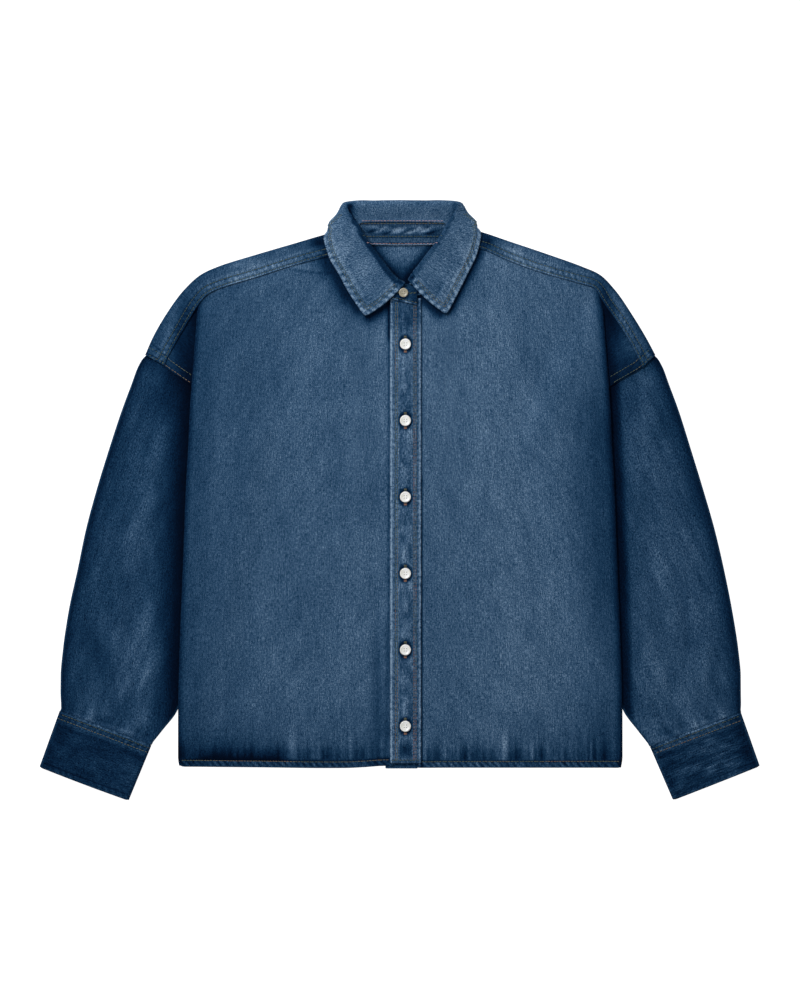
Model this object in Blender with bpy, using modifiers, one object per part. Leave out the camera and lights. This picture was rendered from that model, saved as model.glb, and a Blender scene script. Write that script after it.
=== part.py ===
"""Denim shirt, laid flat on its back with the sleeves drawn down and tucked under the sides of the body.

Sizes are in millimetres and become metres in one place, when a mesh is made. +X runs to the wearer's
left, +Y from the hem to the collar and +Z up from the surface that the shirt lies on. Every cloth piece
is a wall round a middle surface: a grid of sections, thickened by a Solidify modifier.
"""

import math

import bmesh
import bpy
import numpy as np

MM = 0.001

# Cloth
PLY = 1.4  # one ply of denim
PLACKET_WALL = 2.2
BAND_WALL = 2.0
LEAF_WALL = 2.2
STAND_WALL = 2.0
CUFF_WALL = 2.0
SEAM_GAP = 0.3

# Heights of the middle surfaces above the table
TABLE_PLY = PLY / 2
BODY = 4.7
BAND = PLY + SEAM_GAP + BAND_WALL / 2
PLACKET = 6.8
HEM_DROP = 1.5
HEM_DROP_LENGTH = 48.0
YOKE_TUCK_DROP = 0.7
PLEAT_RISE_LENGTH = 46.0  # how far the face takes to climb over the folded side
LEFT_EDGE_LENGTH = 4.9  # how far the left front's edge takes to come down to the band
FLAP_END = 4.2  # end of the side flap at the yoke seam
FLAP_END_RISE = 1.6  # and how much higher it is at the underarm

# Front edges and hem
RIGHT_FRONT_EDGE = -8.4
LEFT_FRONT_EDGE = 19.6
PLACKET_SIDES = (-12.4, 23.8)
PLACKET_ENDS = (232.0, -301.7)
BAND_SIDES = (-16.4, 19.2)
BAND_ENDS = (230.0, -308.2)
RIGHT_HEM = -306.6
LEFT_HEM = -308.0
BACK_HEM = -303.5
HEM_CORNER = 2.6

# Buttons
BUTTON_DIAMETER = 12.6
BUTTON_THICKNESS = 2.6
BUTTON_SIDES = 14
BUTTON_X = 5.9
BUTTON_TOP = 179.3
BUTTON_PITCH = 87.8
FRONT_BUTTONS = 6
COLLAR_BUTTON = (3.7, 238.3)
BUTTON_DISH = 0.7  # depth of the sunk middle, and height of the rounded rim
BUTTON_RIM = (2.2, 1.5, 0.6)  # widths in from the edge: dish wall, flat of the rim, outer bevel
BUTTON_FOOT = 1.2  # how much smaller the underside's radius is
HOLE_OFFSET = 1.35
HOLE_RADIUS = 0.75
HOLE_SIDES = 6

# Neck
COLLAR_MIDDLE = 2.5
NECK_SIDE = 63.5
BACK_NECK = (301.0, 298.6, 298.2)  # back neckline: at its sides, half way in and at the middle
NECK_FRONT = 262.0
ABOVE_SHIRT = (355.0, 20.0)  # past the collar's fold, and over it


def table(names, *rows):
    """A table of named columns."""
    values = np.array(rows, float)
    return {name: values[:, column] for column, name in enumerate(names.split())}


# Edge along which each side of the front folds under, and the layers of that fold. depth is how far
# the cloth runs back under the front, down to the armhole and below it to the side seam. turn is how far
# it turns back again, in half turns, and flap is what is left beyond that turn.
SIDE = table(
    "y half depth top under crease turn flap",
    (238, 229.5, 0.0, 4.0, 4.0, 4.0, 0.0, 1.5),
    (231, 230.4, 0.0, 4.1, 4.1, 4.1, 0.0, 1.5),
    (224, 231.6, 0.0, 4.3, 4.3, 4.3, 0.0, 1.5),
    (214, 233.2, 1.9, 6.6, 4.9, 4.9, 1.0, 1.5),
    (200, 234.3, 10.0, 7.4, 5.7, 5.7, 1.0, 1.5),
    (160, 237.2, 33.5, 9.0, 7.3, 7.3, 1.0, 1.5),
    (134, 239.2, 47.0, 9.3, 7.5, 7.5, 1.0, 1.5),
    (95, 241.8, 67.0, 9.3, 7.5, 7.5, 1.0, 1.5),
    (86, 242.2, 71.0, 9.3, 7.5, 7.5, 0.75, 4.0),
    (79, 242.5, 74.0, 9.3, 7.1, 7.1, 0.5, 3.0),
    (72, 242.8, 75.5, 9.0, 6.2, 4.8, 0.25, 2.0),
    (64, 243.2, 75.0, 8.8, 5.9, 2.4, 0.0, 5.0),
    (23, 245.6, 68.0, 8.6, 5.7, 2.4, 0.0, 5.0),
    (-69, 249.2, 53.0, 8.4, 5.7, 2.4, 0.0, 5.0),
    (-161, 252.9, 37.0, 8.3, 5.7, 2.4, 0.0, 5.0),
    (-232, 254.8, 24.5, 8.0, 5.6, 2.4, 0.0, 5.0),
    (-262, 255.1, 18.0, 6.2, 3.6, 2.4, 0.0, 5.0),
    (-295, 255.2, 10.0, 5.0, 2.8, 2.4, 0.0, 5.0),
    (-310, 253.2, 8.0, 4.6, 2.4, 2.4, 0.0, 5.0),
)
FOLD_STARTS = 223.0
UNROLLED_STEP = 0.7
TURN_LENGTH = 2.7  # cloth in the crease's turn
TURN_SETBACK = 0.85  # how far a full turn starts before the crease
SIDE_ROWS = (238, 231, 224, 214, 201, 182, 160, 137, 114, 95, 86, 79, 72, 64, 38, 0, -45, -90, -135,
             -180, -222, -246, -266, -286)
PANEL_COLUMNS = (0, 0.02, 0.07, 0.15, 0.26, 0.38, 0.49, 0.59, 0.68, 0.76, 0.83, 0.9, 0.96, 1)

ARMHOLE_TOP = 238.0
ARMHOLE_BOTTOM = 95.0

# Upper edge of each front, tucked under the stand and the yoke
RIGHT_TOP = table(
    "x y",
    (-8.4, 235), (-20, 240.5), (-31.5, 248.5), (-46.3, 266.5), (-57.5, 286), (-64, 291), (-80.5, 288),
    (-122, 276.5), (-162, 263.6), (-190, 255), (-207, 249.4), (-220, 243), (-229.5, 238),
)
LEFT_TOP = table(
    "x y",
    (19.6, 235), (25, 239.5), (36.5, 248.5), (51.3, 267), (62.5, 287.5), (69, 296.5), (90, 296),
    (148, 273.5), (191, 260.4), (205, 256), (214, 252), (222, 247), (229.5, 241),
)

# Armhole ends of the side flap, from the yoke seam to the underarm
RIGHT_ARMHOLE = table(
    "y x", (234, -238.5), (226, -243), (212, -251), (196.6, -260), (175, -273.5), (162, -279.5),
    (153.5, -271), (142, -254.5), (133.6, -242.4), (118, -222), (104, -204), (92, -189),
)
LEFT_ARMHOLE = table(
    "y x", (235, 239.5), (228, 243.5), (214, 253), (198, 263), (175, 278), (160.5, 285),
    (151, 276), (141, 259), (133.6, 246), (118, 224), (104, 204), (92, 189),
)

# Sections of the yoke. fold is the shoulder line, where it turns over to the back.
YOKE = table(
    "fold_x fold_y seam_x seam_y back_x back_y height",
    (-293.6, 167.2, -271.5, 155.2, -257, 143.6, 7.6),
    (-285.2, 186.5, -265.9, 167.3, -246, 152, 7.6),
    (-269.4, 214.1, -251.4, 193.0, -230, 164, 7.1),
    (-249.3, 241.7, -232.0, 225.3, -208, 175, 6.3),
    (-228.9, 260.1, -222.0, 236.6, -188, 182, 6.0),
    (-208.8, 269.3, -209.4, 243.0, -170, 187, 5.8),
    (-165.0, 283.0, -164.2, 256.9, -130, 195, 5.7),
    (-123.0, 295.3, -123.9, 269.7, -95, 200, 5.7),
    (-92.0, 304.5, -82.0, 281.0, -65, 203, 5.7),
    (-62.0, 312.5, -55.0, 288.5, -40, 204, 5.7),
    (0.0, 316.0, 0.0, 293.0, 0, 205, 5.7),
    (62.0, 317.0, 58.0, 293.5, 40, 204, 5.7),
    (94.0, 308.7, 91.7, 289.1, 65, 203, 5.7),
    (125.8, 298.0, 121.0, 277.0, 95, 200, 5.7),
    (165.0, 284.8, 160.0, 262.6, 130, 195, 5.7),
    (208.5, 269.3, 205.0, 249.8, 170, 187, 5.8),
    (229.1, 260.1, 222.0, 244.5, 188, 182, 6.0),
    (247.5, 241.7, 235.3, 225.3, 208, 175, 6.4),
    (266.5, 214.1, 254.5, 198.0, 230, 164, 7.2),
    (283.2, 186.5, 271.0, 168.5, 246, 152, 7.6),
    (293.6, 167.2, 278.5, 153.0, 257, 143.6, 7.6),
)

YOKE_SECTIONS = 31

# Side edge of the back: armhole, underarm, side seam
BACK_SIDE = table(
    "t y half", (0, 143.2, 256), (0.07, 128, 235), (0.14, 106, 206), (0.21, 82, 175), (0.24, 72, 168),
    (0.3, 52, 171.5), (0.65, -120, 208), (1, BACK_HEM, 246),
)
BACK_MIDDLE_TOP = 204.7
BACK_ROWS = 12
BACK_COLUMNS = 20

# Sections of a sleeve from the armhole to inside the cuff: outer fold, inner fold, and the heights of
# the lower wall and of the upper wall.
SLEEVE = table(
    "outer_x outer_y inner_x inner_y lower upper",
    (286.5, 171, 193, 99.5, 2.5, 4.15),
    (293.2, 163, 186, 89, 2.4, 4.1),
    (301.5, 152.4, 178, 74, 1.9, 4.6),
    (309.5, 133, 175.5, 55, 1.2, 5.4),
    (320.5, 103, 180.5, 30, 0.7, 6.0),
    (335.0, 57, 190.5, -6, 0.7, 6.0),
    (348.5, 12, 200, -42, 0.7, 6.0),
    (361.0, -34, 211, -78, 0.7, 6.0),
    (371.5, -80, 222, -114, 0.7, 6.0),
    (380.5, -126, 233, -150, 0.7, 6.0),
    (387.5, -170, 243, -185, 0.7, 6.0),
    (390.6, -201, 248.0, -218.5, 0.7, 6.0),
    (391.0, -221, 257.0, -243, 0.7, 5.8),
    (390.6, -233, 272.4, -263.4, 0.9, 5.6),
    (390.4, -239.4, 284.4, -278.6, 1.6, 5.3),
    (388.6, -243.4, 291.0, -280.4, 3.0, 4.7),
    (390.0, -250.4, 295.0, -286, 3.0, 4.7),
)
SLEEVE_TUCKED = 4.0  # highest upper wall under the side of the body
SLEEVE_CLEAR = (4, 30)  # distances out from the body's fold between which it rises to its own height
SLEEVE_ACROSS = 15
ARMHOLE_BOW = 4.5
ARMHOLE_RINGS = 5
GATHERS = 5
GATHER_HEIGHT = 0.5

# Corners of a cuff, and its inside height
CUFF_TOP = ((391.4, -242.6), (287.6, -282.0))
CUFF_BOTTOM = ((413.0, -305.2), (314.8, -343.9))
CUFF_INSIDE = 3.8
CUFF_ROWS = (0, 0.03, 0.12, 0.35, 0.65, 0.9, 1)
CUFF_ACROSS = 9

# Sections of the collar from the middle of the back to a front edge. x is measured from the collar's
# middle. edge is the outer edge of the leaf, side its widest line, roll its fold and seam its inner edge.
LEAF = table(
    "edge_x edge_y edge_z side_x side_y side_z roll_x roll_y roll_z seam_x seam_y seam_z",
    (0.0, 333.0, 1.3, 0.0, 342.4, 8.0, 0.0, 340.0, 18.6, 0.0, 322.5, 14.0),
    (28.0, 333.0, 1.3, 28.5, 342.4, 8.0, 28.0, 340.0, 18.3, 27.5, 322.3, 13.8),
    (48.0, 332.8, 1.3, 53.0, 342.0, 8.0, 51.0, 339.4, 17.6, 47.0, 321.5, 13.0),
    (58.0, 331.0, 1.4, 67.0, 340.8, 8.0, 63.8, 337.2, 16.8, 53.0, 317.0, 12.2),
    (68.0, 323.0, 1.7, 76.0, 328.4, 8.0, 60.2, 329.6, 16.4, 52.4, 311.8, 11.4),
    (80.0, 313.5, 4.4, 82.5, 316.6, 9.0, 53.4, 318.2, 15.8, 50.8, 306.0, 10.6),
    (90.0, 301.8, 8.6, 76.0, 304.6, 11.6, 46.2, 305.4, 15.0, 47.6, 300.0, 9.6),
    (84.6, 281.0, 8.2, 61.4, 286.0, 11.6, 36.0, 290.8, 14.0, 38.5, 286.8, 8.6),
    (73.0, 258.6, 8.4, 49.4, 266.4, 11.4, 23.2, 274.0, 13.2, 26.6, 270.4, 8.2),
    (61.3, 236.2, 8.9, 36.9, 246.8, 11.6, 9.6, 256.8, 12.8, 13.6, 252.6, 8.6),
)
RIGHT_LEAF_END = (44.0, 211.8, 10.4, 21.6, 231.0, 12.0, -2.0, 249.2, 13.0, 2.2, 246.0, 9.4)
LEFT_LEAF_END = (48.6, 211.6, 9.6, 29.6, 235.4, 11.4, 8.4, 253.4, 12.2, 10.6, 250.0, 7.4)
LEFT_LEAF_LIFT = 4.0  # the left shoulder lies a little higher

STAND = table(
    "top_x top_y top_z foot_x foot_y foot_z",
    (0.0, 320.6, 13.4, 0.0, 293.4, 2.8),
    (27.4, 320.4, 13.2, 27.0, 293.7, 2.8),
    (46.2, 319.6, 12.4, 44.0, 295.0, 3.1),
    (50.4, 312.4, 10.2, 53.0, 296.2, 4.0),
    (51.2, 306.2, 9.1, 58.5, 295.8, 5.4),
    (50.2, 301.2, 8.6, 60.8, 293.4, 6.9),
    (47.8, 296.0, 8.0, 64.5, 287.4, 7.9),
    (37.6, 284.2, 7.9, 57.3, 274.6, 7.9),
    (26.2, 268.0, 7.9, 44.3, 257.3, 7.9),
    (13.6, 250.2, 7.9, 27.6, 239.6, 8.2),
)
TAB = 9.2  # the stand's right end, on top
UNDER_TAB = 6.7  # its left end
RIGHT_STAND_END = (
    (1.4, 244.0, TAB, 12.3, 231.3, TAB),
    (-8.0, 245.6, TAB, -4.0, 227.4, TAB),
    (-16.6, 246.4, TAB, -16.8, 224.4, TAB),
)
LEFT_STAND_END = (
    (7.2, 248.0, UNDER_TAB, 15.2, 235.4, UNDER_TAB),
    (-2.0, 249.0, UNDER_TAB, 2.0, 234.6, UNDER_TAB),
    (-10.4, 249.6, UNDER_TAB, -10.4, 236.4, UNDER_TAB),
)


# ---------------------------------------------------------------------------------------------------
# Curves and surfaces
# ---------------------------------------------------------------------------------------------------


def ease(value):
    """A smooth step from 0 to 1."""
    value = np.clip(value, 0.0, 1.0)
    return value * value * (3 - 2 * value)


def smooth(at, knots, values):
    """A curve through the knots that doesn't swing past them. values may have several columns."""
    knots = np.asarray(knots, float)
    values = np.asarray(values, float)
    if knots[0] > knots[-1]:
        knots = knots[::-1]
        values = values[::-1]
    widths = np.diff(knots)
    shape = (-1,) + (1,) * (values.ndim - 1)
    slopes = np.diff(values, axis=0) / widths.reshape(shape)
    before = slopes[:-1]
    after = slopes[1:]
    same = before * after > 0
    mean = np.where(same, 2 * before * after / np.where(same, before + after, 1), 0)
    tangents = np.concatenate([slopes[:1], mean, slopes[-1:]])
    at = np.clip(np.asarray(at, float), knots[0], knots[-1])
    span = np.clip(np.searchsorted(knots, at) - 1, 0, len(widths) - 1)
    width = widths[span].reshape(np.shape(at) + (1,) * (values.ndim - 1))
    t = ((at - knots[span]) / widths[span]).reshape(width.shape)
    return (
        (1 + 2 * t) * (1 - t) ** 2 * values[span]
        + t * (1 - t) ** 2 * width * tangents[span]
        + t * t * (3 - 2 * t) * values[span + 1]
        - t * t * (1 - t) * width * tangents[span + 1]
    )


def read(rows, name, at, key="y"):
    """The value of one column of a table, where the column key has the value at."""
    return smooth(at, rows[key], rows[name])


def grid(rows):
    """Rows of points as one array."""
    return np.array([[tuple(float(v) for v in point) for point in row] for row in rows])


# ---------------------------------------------------------------------------------------------------
# Blender objects
# ---------------------------------------------------------------------------------------------------


def clear_scene():
    for thing in list(bpy.data.objects):
        bpy.data.objects.remove(thing, do_unlink=True)


def collection(name):
    made = bpy.data.collections.new(name)
    bpy.context.scene.collection.children.link(made)
    return made


def material(name, colour, roughness):
    made = bpy.data.materials.new(name)
    made.use_nodes = True
    shader = made.node_tree.nodes["Principled BSDF"]
    shader.inputs["Base Color"].default_value = (*colour, 1.0)
    shader.inputs["Roughness"].default_value = roughness
    return made


def surface(name, points, finish, group, ring=False):
    """An open surface through a grid of points. With ring, each row closes on itself."""
    mesh = bpy.data.meshes.new(name)
    shape = bmesh.new()
    corners = [[shape.verts.new(point * MM) for point in row] for row in points]
    across = len(corners[0])
    steps = across if ring else across - 1
    for lower, upper in zip(corners, corners[1:]):
        for column in range(steps):
            following = (column + 1) % across
            shape.faces.new((lower[column], lower[following], upper[following], upper[column]))
    bmesh.ops.recalc_face_normals(shape, faces=shape.faces[:])
    shape.to_mesh(mesh)
    shape.free()
    made = bpy.data.objects.new(name, mesh)
    made.data.materials.append(finish)
    made.data.shade_smooth()
    group.objects.link(made)
    return made


def cloth(name, points, wall, finish, group, ring=False, even=True):
    """A cloth wall whose middle surface runs through a grid of points. even keeps the wall's full
    thickness at sharp folds, which suits single folds and not a corner that bends both ways."""
    made = surface(name, points, finish, group, ring)
    thick = made.modifiers.new("Wall", "SOLIDIFY")
    thick.thickness = wall * MM
    thick.offset = 0.0
    thick.use_even_offset = even
    return made


def prism(name, outline, low, high, group):
    """A closed block over an outline, used as a cutter."""
    mesh = bpy.data.meshes.new(name)
    shape = bmesh.new()
    corners = [shape.verts.new((x * MM, y * MM, low * MM)) for x, y in outline]
    base = shape.faces.new(corners)
    lifted = bmesh.ops.extrude_face_region(shape, geom=[base])["geom"]
    moved = [item for item in lifted if isinstance(item, bmesh.types.BMVert)]
    bmesh.ops.translate(shape, verts=moved, vec=(0, 0, (high - low) * MM))
    bmesh.ops.recalc_face_normals(shape, faces=shape.faces[:])
    shape.to_mesh(mesh)
    shape.free()
    made = bpy.data.objects.new(name, mesh)
    made.hide_render = True
    made.display_type = "WIRE"
    group.objects.link(made)
    return made


def cut(piece, cutter):
    step = piece.modifiers.new("Cut", "BOOLEAN")
    step.operation = "DIFFERENCE"
    step.object = cutter


# ---------------------------------------------------------------------------------------------------
# Fronts
# ---------------------------------------------------------------------------------------------------


def side_fold(y):
    """The folded side at one height: how far in from the fold the flat face ends, the profile
    (distance in, z) round the fold, back under it and round the crease, the crease's turn as an angle,
    and the length of the flap."""
    depth, top, under, crease, turn, flap = (
        float(read(SIDE, name, y)) for name in ("depth", "top", "under", "crease", "turn", "flap")
    )
    if y > FOLD_STARTS:
        return 0.0, [(-UNROLLED_STEP * step, crease) for step in range(1, 11)], 0.0, flap
    radius = (top - under) / 2
    start = min(radius, depth / 2)
    points = []
    for angle in (45, 90, 135):
        bend = math.radians(angle)
        points.append((start * (1 - math.sin(bend)), under + radius * (1 + math.cos(bend))))
    points.append((start, under))
    bend = math.pi * turn
    turned = ease((turn - 0.5) * 2)
    heel = depth - turned * TURN_SETBACK
    middle = start + (heel - start) * 0.5
    points.append((middle, under))
    points.append((max(heel - 2.6, start + (heel - start) * 0.8), under + (crease - under) * 0.05))
    points.append((heel, crease))
    for step in (1, 2, 3):
        angle = bend * step / 3
        if bend > 0.01:
            radius = TURN_LENGTH / bend
            points.append((heel + radius * math.sin(angle), crease - radius * (1 - math.cos(angle))))
        else:
            points.append((heel + TURN_LENGTH * step / 3, crease))
    return start, points, bend, flap


def top_edge(side, x):
    rows = RIGHT_TOP if side < 0 else LEFT_TOP
    return float(read(rows, "y", x, key="x"))


def hem_edge(side, share):
    hem = RIGHT_HEM if side < 0 else LEFT_HEM
    return hem + HEM_CORNER * ease((share - 0.985) / 0.015)


def front_height(x, y, side, fold_x):
    """Height of the middle surface of a front's face."""
    inward = abs(fold_x) - abs(x)
    depth = float(read(SIDE, "depth", y))
    top = float(read(SIDE, "top", y))
    height = BODY
    height += (top - BODY) * (1 - ease((inward - depth + 6) / PLEAT_RISE_LENGTH))
    from_edge = abs(x - (RIGHT_FRONT_EDGE if side < 0 else LEFT_FRONT_EDGE))
    if side > 0:
        height -= (BODY - BAND) * (1 - ease(from_edge / LEFT_EDGE_LENGTH))
    clear_of_edge = ease((from_edge - 10) / 18)
    hem = RIGHT_HEM if side < 0 else LEFT_HEM
    height -= HEM_DROP * (1 - ease((y - hem) / HEM_DROP_LENGTH)) * clear_of_edge * ease(inward / 20)
    seam = top_edge(side, x)
    under_yoke = ease((abs(x) - 50) / 12) * (1 - ease((seam - y - 6) / 12))
    height -= YOKE_TUCK_DROP * under_yoke * ease(inward / 12)
    return height


def armhole_end(side, y, crease_x, crease_z):
    """End of the flap for the row that folds at height y: rows fan out along yoke seam and armhole."""
    share = (ARMHOLE_TOP - y) / (ARMHOLE_TOP - ARMHOLE_BOTTOM)
    rows = RIGHT_ARMHOLE if side < 0 else LEFT_ARMHOLE
    path = np.column_stack([rows["x"], rows["y"]])
    lengths = np.concatenate([[0], np.cumsum(np.linalg.norm(np.diff(path, axis=0), axis=1))])
    x, y_end = smooth(share * lengths[-1], lengths, path)
    height = FLAP_END + FLAP_END_RISE * ease((share - 0.05) / 0.4)
    return float(x), float(y_end), height


def front(side):
    """Middle surface of one front, from its front edge to its side seam."""
    edge = RIGHT_FRONT_EDGE if side < 0 else LEFT_FRONT_EDGE
    rows = []
    top_y = SIDE_ROWS[0]
    for level in SIDE_ROWS + (None,):
        hem = hem_edge(side, 1.0)
        fold_y = hem if level is None else level
        share = (top_y - fold_y) / (top_y - hem)
        fold_x = side * float(read(SIDE, "half", fold_y))
        start, profile, bend, flap = side_fold(fold_y)
        row = []
        reach = abs(fold_x) - start - side * edge
        for column in PANEL_COLUMNS:
            x = edge + side * reach * column
            upper = top_edge(side, x)
            y = upper + (hem_edge(side, column) - upper) * share
            row.append((x, y, front_height(x, y, side, side * float(read(SIDE, "half", y)))))
        row[-1] = (row[-1][0], fold_y, float(read(SIDE, "top", fold_y)))
        row.extend((fold_x - side * inward, fold_y, z) for inward, z in profile)
        inward, z = profile[-1]
        last_x = fold_x - side * inward
        last_y = fold_y
        if fold_y >= ARMHOLE_BOTTOM:
            end_x, end_y, end_z = armhole_end(side, fold_y, last_x, z)
        else:
            end_x = last_x - side * flap * math.cos(bend)
            end_y = last_y
            end_z = z - flap * math.sin(bend)
        for step in (1, 2, 3):
            share_out = step / 3
            row.append((
                last_x + (end_x - last_x) * share_out,
                last_y + (end_y - last_y) * share_out,
                z + (end_z - z) * ease(share_out),
            ))
        rows.append(row)
    return grid(rows)


# ---------------------------------------------------------------------------------------------------
# Placket, band, back, yoke
# ---------------------------------------------------------------------------------------------------


def strip(sides, ends, height, rows=14, columns=3):
    """A flat strip that runs down the front."""
    return grid(
        [(x, y, height) for x in np.linspace(sides[0], sides[1], columns)]
        for y in np.linspace(ends[0], ends[1], rows)
    )


def back():
    """Middle surface of the back, flat on the table."""
    rows = []
    reach = YOKE["back_x"][-1]
    right_half = YOKE["back_x"] >= 0
    shape_x = YOKE["back_x"][right_half]
    shape_y = YOKE["back_y"][right_half]
    drop_all = shape_y[0] - shape_y[-1]
    for t in np.linspace(0, 1, BACK_ROWS) ** 1.4:
        half = float(read(BACK_SIDE, "half", t, key="t"))
        side_y = float(read(BACK_SIDE, "y", t, key="t")) - SEAM_GAP
        middle_y = BACK_MIDDLE_TOP - SEAM_GAP + (BACK_HEM - BACK_MIDDLE_TOP) * t
        row = []
        for share in np.linspace(-1, 1, BACK_COLUMNS + 1):
            bow = (shape_y[0] - float(smooth(abs(share) * reach, shape_x, shape_y))) / drop_all
            row.append((share * half, middle_y + (side_y - middle_y) * bow, TABLE_PLY))
        rows.append(row)
    return grid(rows)


def yoke():
    """Middle surface of the yoke before its neck is cut: front seam, shoulder fold, back seam."""
    names = ("fold_x", "fold_y", "seam_x", "seam_y", "back_x", "back_y", "height")
    sections = np.column_stack([YOKE[name] for name in names])
    stations = np.arange(len(sections))
    finer = np.linspace(0, stations[-1], YOKE_SECTIONS)
    rows = []
    for section in smooth(finer, stations, sections):
        fold = section[0:2]
        seam = section[2:4]
        foot = section[4:6]
        height = section[6]
        radius = (height - TABLE_PLY) / 2
        outward = (fold - seam) / np.linalg.norm(fold - seam)
        inside = fold - outward * (radius + PLY / 2)
        row = []
        for share in (0, 0.5, 1):
            row.append((*(seam + (inside - seam) * share), height))
        for angle in (45, 90, 135):
            bend = math.radians(angle)
            place = inside + outward * radius * math.sin(bend)
            row.append((*place, TABLE_PLY + radius * (1 + math.cos(bend))))
        for share in (0, 0.33, 0.67, 1):
            row.append((*(inside + (foot - inside) * share), TABLE_PLY))
        rows.append(row)
    return grid(rows)


def cut_neck(piece, group):
    """Open the neck: the back layer ends at the back neckline, the front layer at the neck's sides."""
    left = COLLAR_MIDDLE - NECK_SIDE
    right = COLLAR_MIDDLE + NECK_SIDE
    side_y, quarter_y, middle_y = BACK_NECK
    far_y, high = ABOVE_SHIRT
    back_line = [
        (left, side_y),
        (left / 2, quarter_y),
        (COLLAR_MIDDLE, middle_y),
        (right / 2, quarter_y),
        (right, side_y),
    ]
    beyond = [(right, far_y), (left, far_y)]
    cut(piece, prism("cut_back_neck", back_line + beyond, -PLY, high, group))
    opening = [(left, NECK_FRONT), (right, NECK_FRONT)] + beyond
    between_layers = 2 * PLY
    cut(piece, prism("cut_front_neck", opening, between_layers, high, group))


# ---------------------------------------------------------------------------------------------------
# Sleeves and cuffs
# ---------------------------------------------------------------------------------------------------


def sleeve(side):
    """Rings of a flattened sleeve, from inside the armhole to inside the cuff."""
    names = ("outer_x", "outer_y", "inner_x", "inner_y", "lower", "upper")
    sections = np.column_stack([SLEEVE[name] for name in names])
    last = len(sections) - 1
    rows = []
    for index, section in enumerate(sections):
        outer = section[0:2]
        inner = section[2:4]
        lower, upper = section[4:6]
        armhole_bow = ARMHOLE_BOW * (1 - ease(index / ARMHOLE_RINGS))
        gather = GATHER_HEIGHT * ease((index - 9) / 3) * (1 - ease((index - last + 3) / 2))
        rows.append(flat_ring(outer, inner, lower, upper, side, armhole_bow, gather))
    return grid(rows)


def flat_ring(outer, inner, lower, upper, side, bow, gather):
    """One ring of a flattened sleeve: along the upper wall and back along the lower one."""
    width = np.linalg.norm(inner - outer)
    along = (inner - outer) / width
    normal = np.array([along[1], -along[0]])
    if normal[1] < 0:
        normal = -normal
    middle = (lower + upper) / 2
    radius = (upper - lower) / 2
    edge = radius + PLY / 2

    def place(share, height):
        inset = edge + (width - 2 * edge) * share
        x, y = outer + along * inset + normal * bow * math.sin(math.pi * share)
        return (side * x, y, height)

    points = []
    for share in np.linspace(0, 1, SLEEVE_ACROSS):
        x, y, _ = place(share, 0)
        fold = float(read(SIDE, "half", y))
        free = ease((abs(x) - fold - SLEEVE_CLEAR[0]) / (SLEEVE_CLEAR[1] - SLEEVE_CLEAR[0]))
        low_roof = min(upper, SLEEVE_TUCKED)
        height = low_roof + (upper - low_roof) * free
        if share == 0:
            height = upper
        height += gather * math.sin(2 * math.pi * GATHERS * share) * math.sin(math.pi * share)
        points.append((x, y, height))
    inner_top = points[-1][2]
    x, y, _ = place(1, 0)
    tip = inner - along * PLY / 2
    points.append((side * (tip[0]), tip[1], (inner_top + lower) / 2))
    for share in np.linspace(1, 0, SLEEVE_ACROSS // 2 + 1):
        points.append(place(share, lower))
    tip = outer + along * PLY / 2
    points.append((side * tip[0], tip[1], middle))
    return points


def cuff(side):
    """Rings of a cuff, from its seam to its mouth."""
    top = np.array(CUFF_TOP)
    bottom = np.array(CUFF_BOTTOM)
    lower = CUFF_WALL / 2
    upper = CUFF_WALL * 1.5 + CUFF_INSIDE
    radius = (upper - lower) / 2
    rows = []
    for share in CUFF_ROWS:
        outer, inner = top + (bottom - top) * share
        width = np.linalg.norm(inner - outer)
        along = (inner - outer) / width
        inset = radius + CUFF_WALL / 2
        row = []
        for step in np.linspace(0, 1, CUFF_ACROSS):
            place = outer + along * (inset + (width - 2 * inset) * step)
            row.append((side * place[0], place[1], upper))
        for bend in (45, 90, 135):
            angle = math.radians(bend)
            place = inner - along * (inset - radius * math.sin(angle))
            row.append((side * place[0], place[1], lower + radius * (1 + math.cos(angle))))
        for step in np.linspace(1, 0, CUFF_ACROSS // 2 + 1):
            place = outer + along * (inset + (width - 2 * inset) * step)
            row.append((side * place[0], place[1], lower))
        for bend in (135, 90, 45):
            angle = math.radians(bend)
            place = outer + along * (inset - radius * math.sin(angle))
            row.append((side * place[0], place[1], lower + radius * (1 + math.cos(angle))))
        rows.append(row)
    return grid(rows)


# ---------------------------------------------------------------------------------------------------
# Collar
# ---------------------------------------------------------------------------------------------------


def both_sides(half, right_ends, left_ends):
    """Sections from the wearer's right front edge round the back to the left one, in world x."""
    columns = np.column_stack(list(half.values()))
    right = np.vstack([columns, right_ends])[::-1].copy()
    left = np.vstack([columns[1:], left_ends])
    right[:, 0::3] = COLLAR_MIDDLE - right[:, 0::3]
    left[:, 0::3] = COLLAR_MIDDLE + left[:, 0::3]
    return np.vstack([right, left])


def collar_leaf():
    """Middle surface of the leaf: outer edge, widest line, roll, seam to the stand."""
    sections = both_sides(LEAF, [RIGHT_LEAF_END], [LEFT_LEAF_END])
    middle = len(LEAF["edge_x"])
    for index, section in enumerate(sections):
        forward = index - middle
        if forward > 0:
            lift = LEFT_LEAF_LIFT * ease((forward - 3) / 2)
            section[1] += lift
            section[4] += lift / 2
    stations = np.arange(len(sections))
    finer = np.linspace(0, stations[-1], 2 * len(sections) - 5)
    knots = (0, 0.42, 0.78, 1)
    across = (0, 0.2, 0.42, 0.56, 0.68, 0.78, 0.88, 1)
    rows = []
    for section in smooth(finer, stations, sections):
        rows.append(arc_through(section.reshape(4, 3), knots, across))
    return grid(rows)


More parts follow.
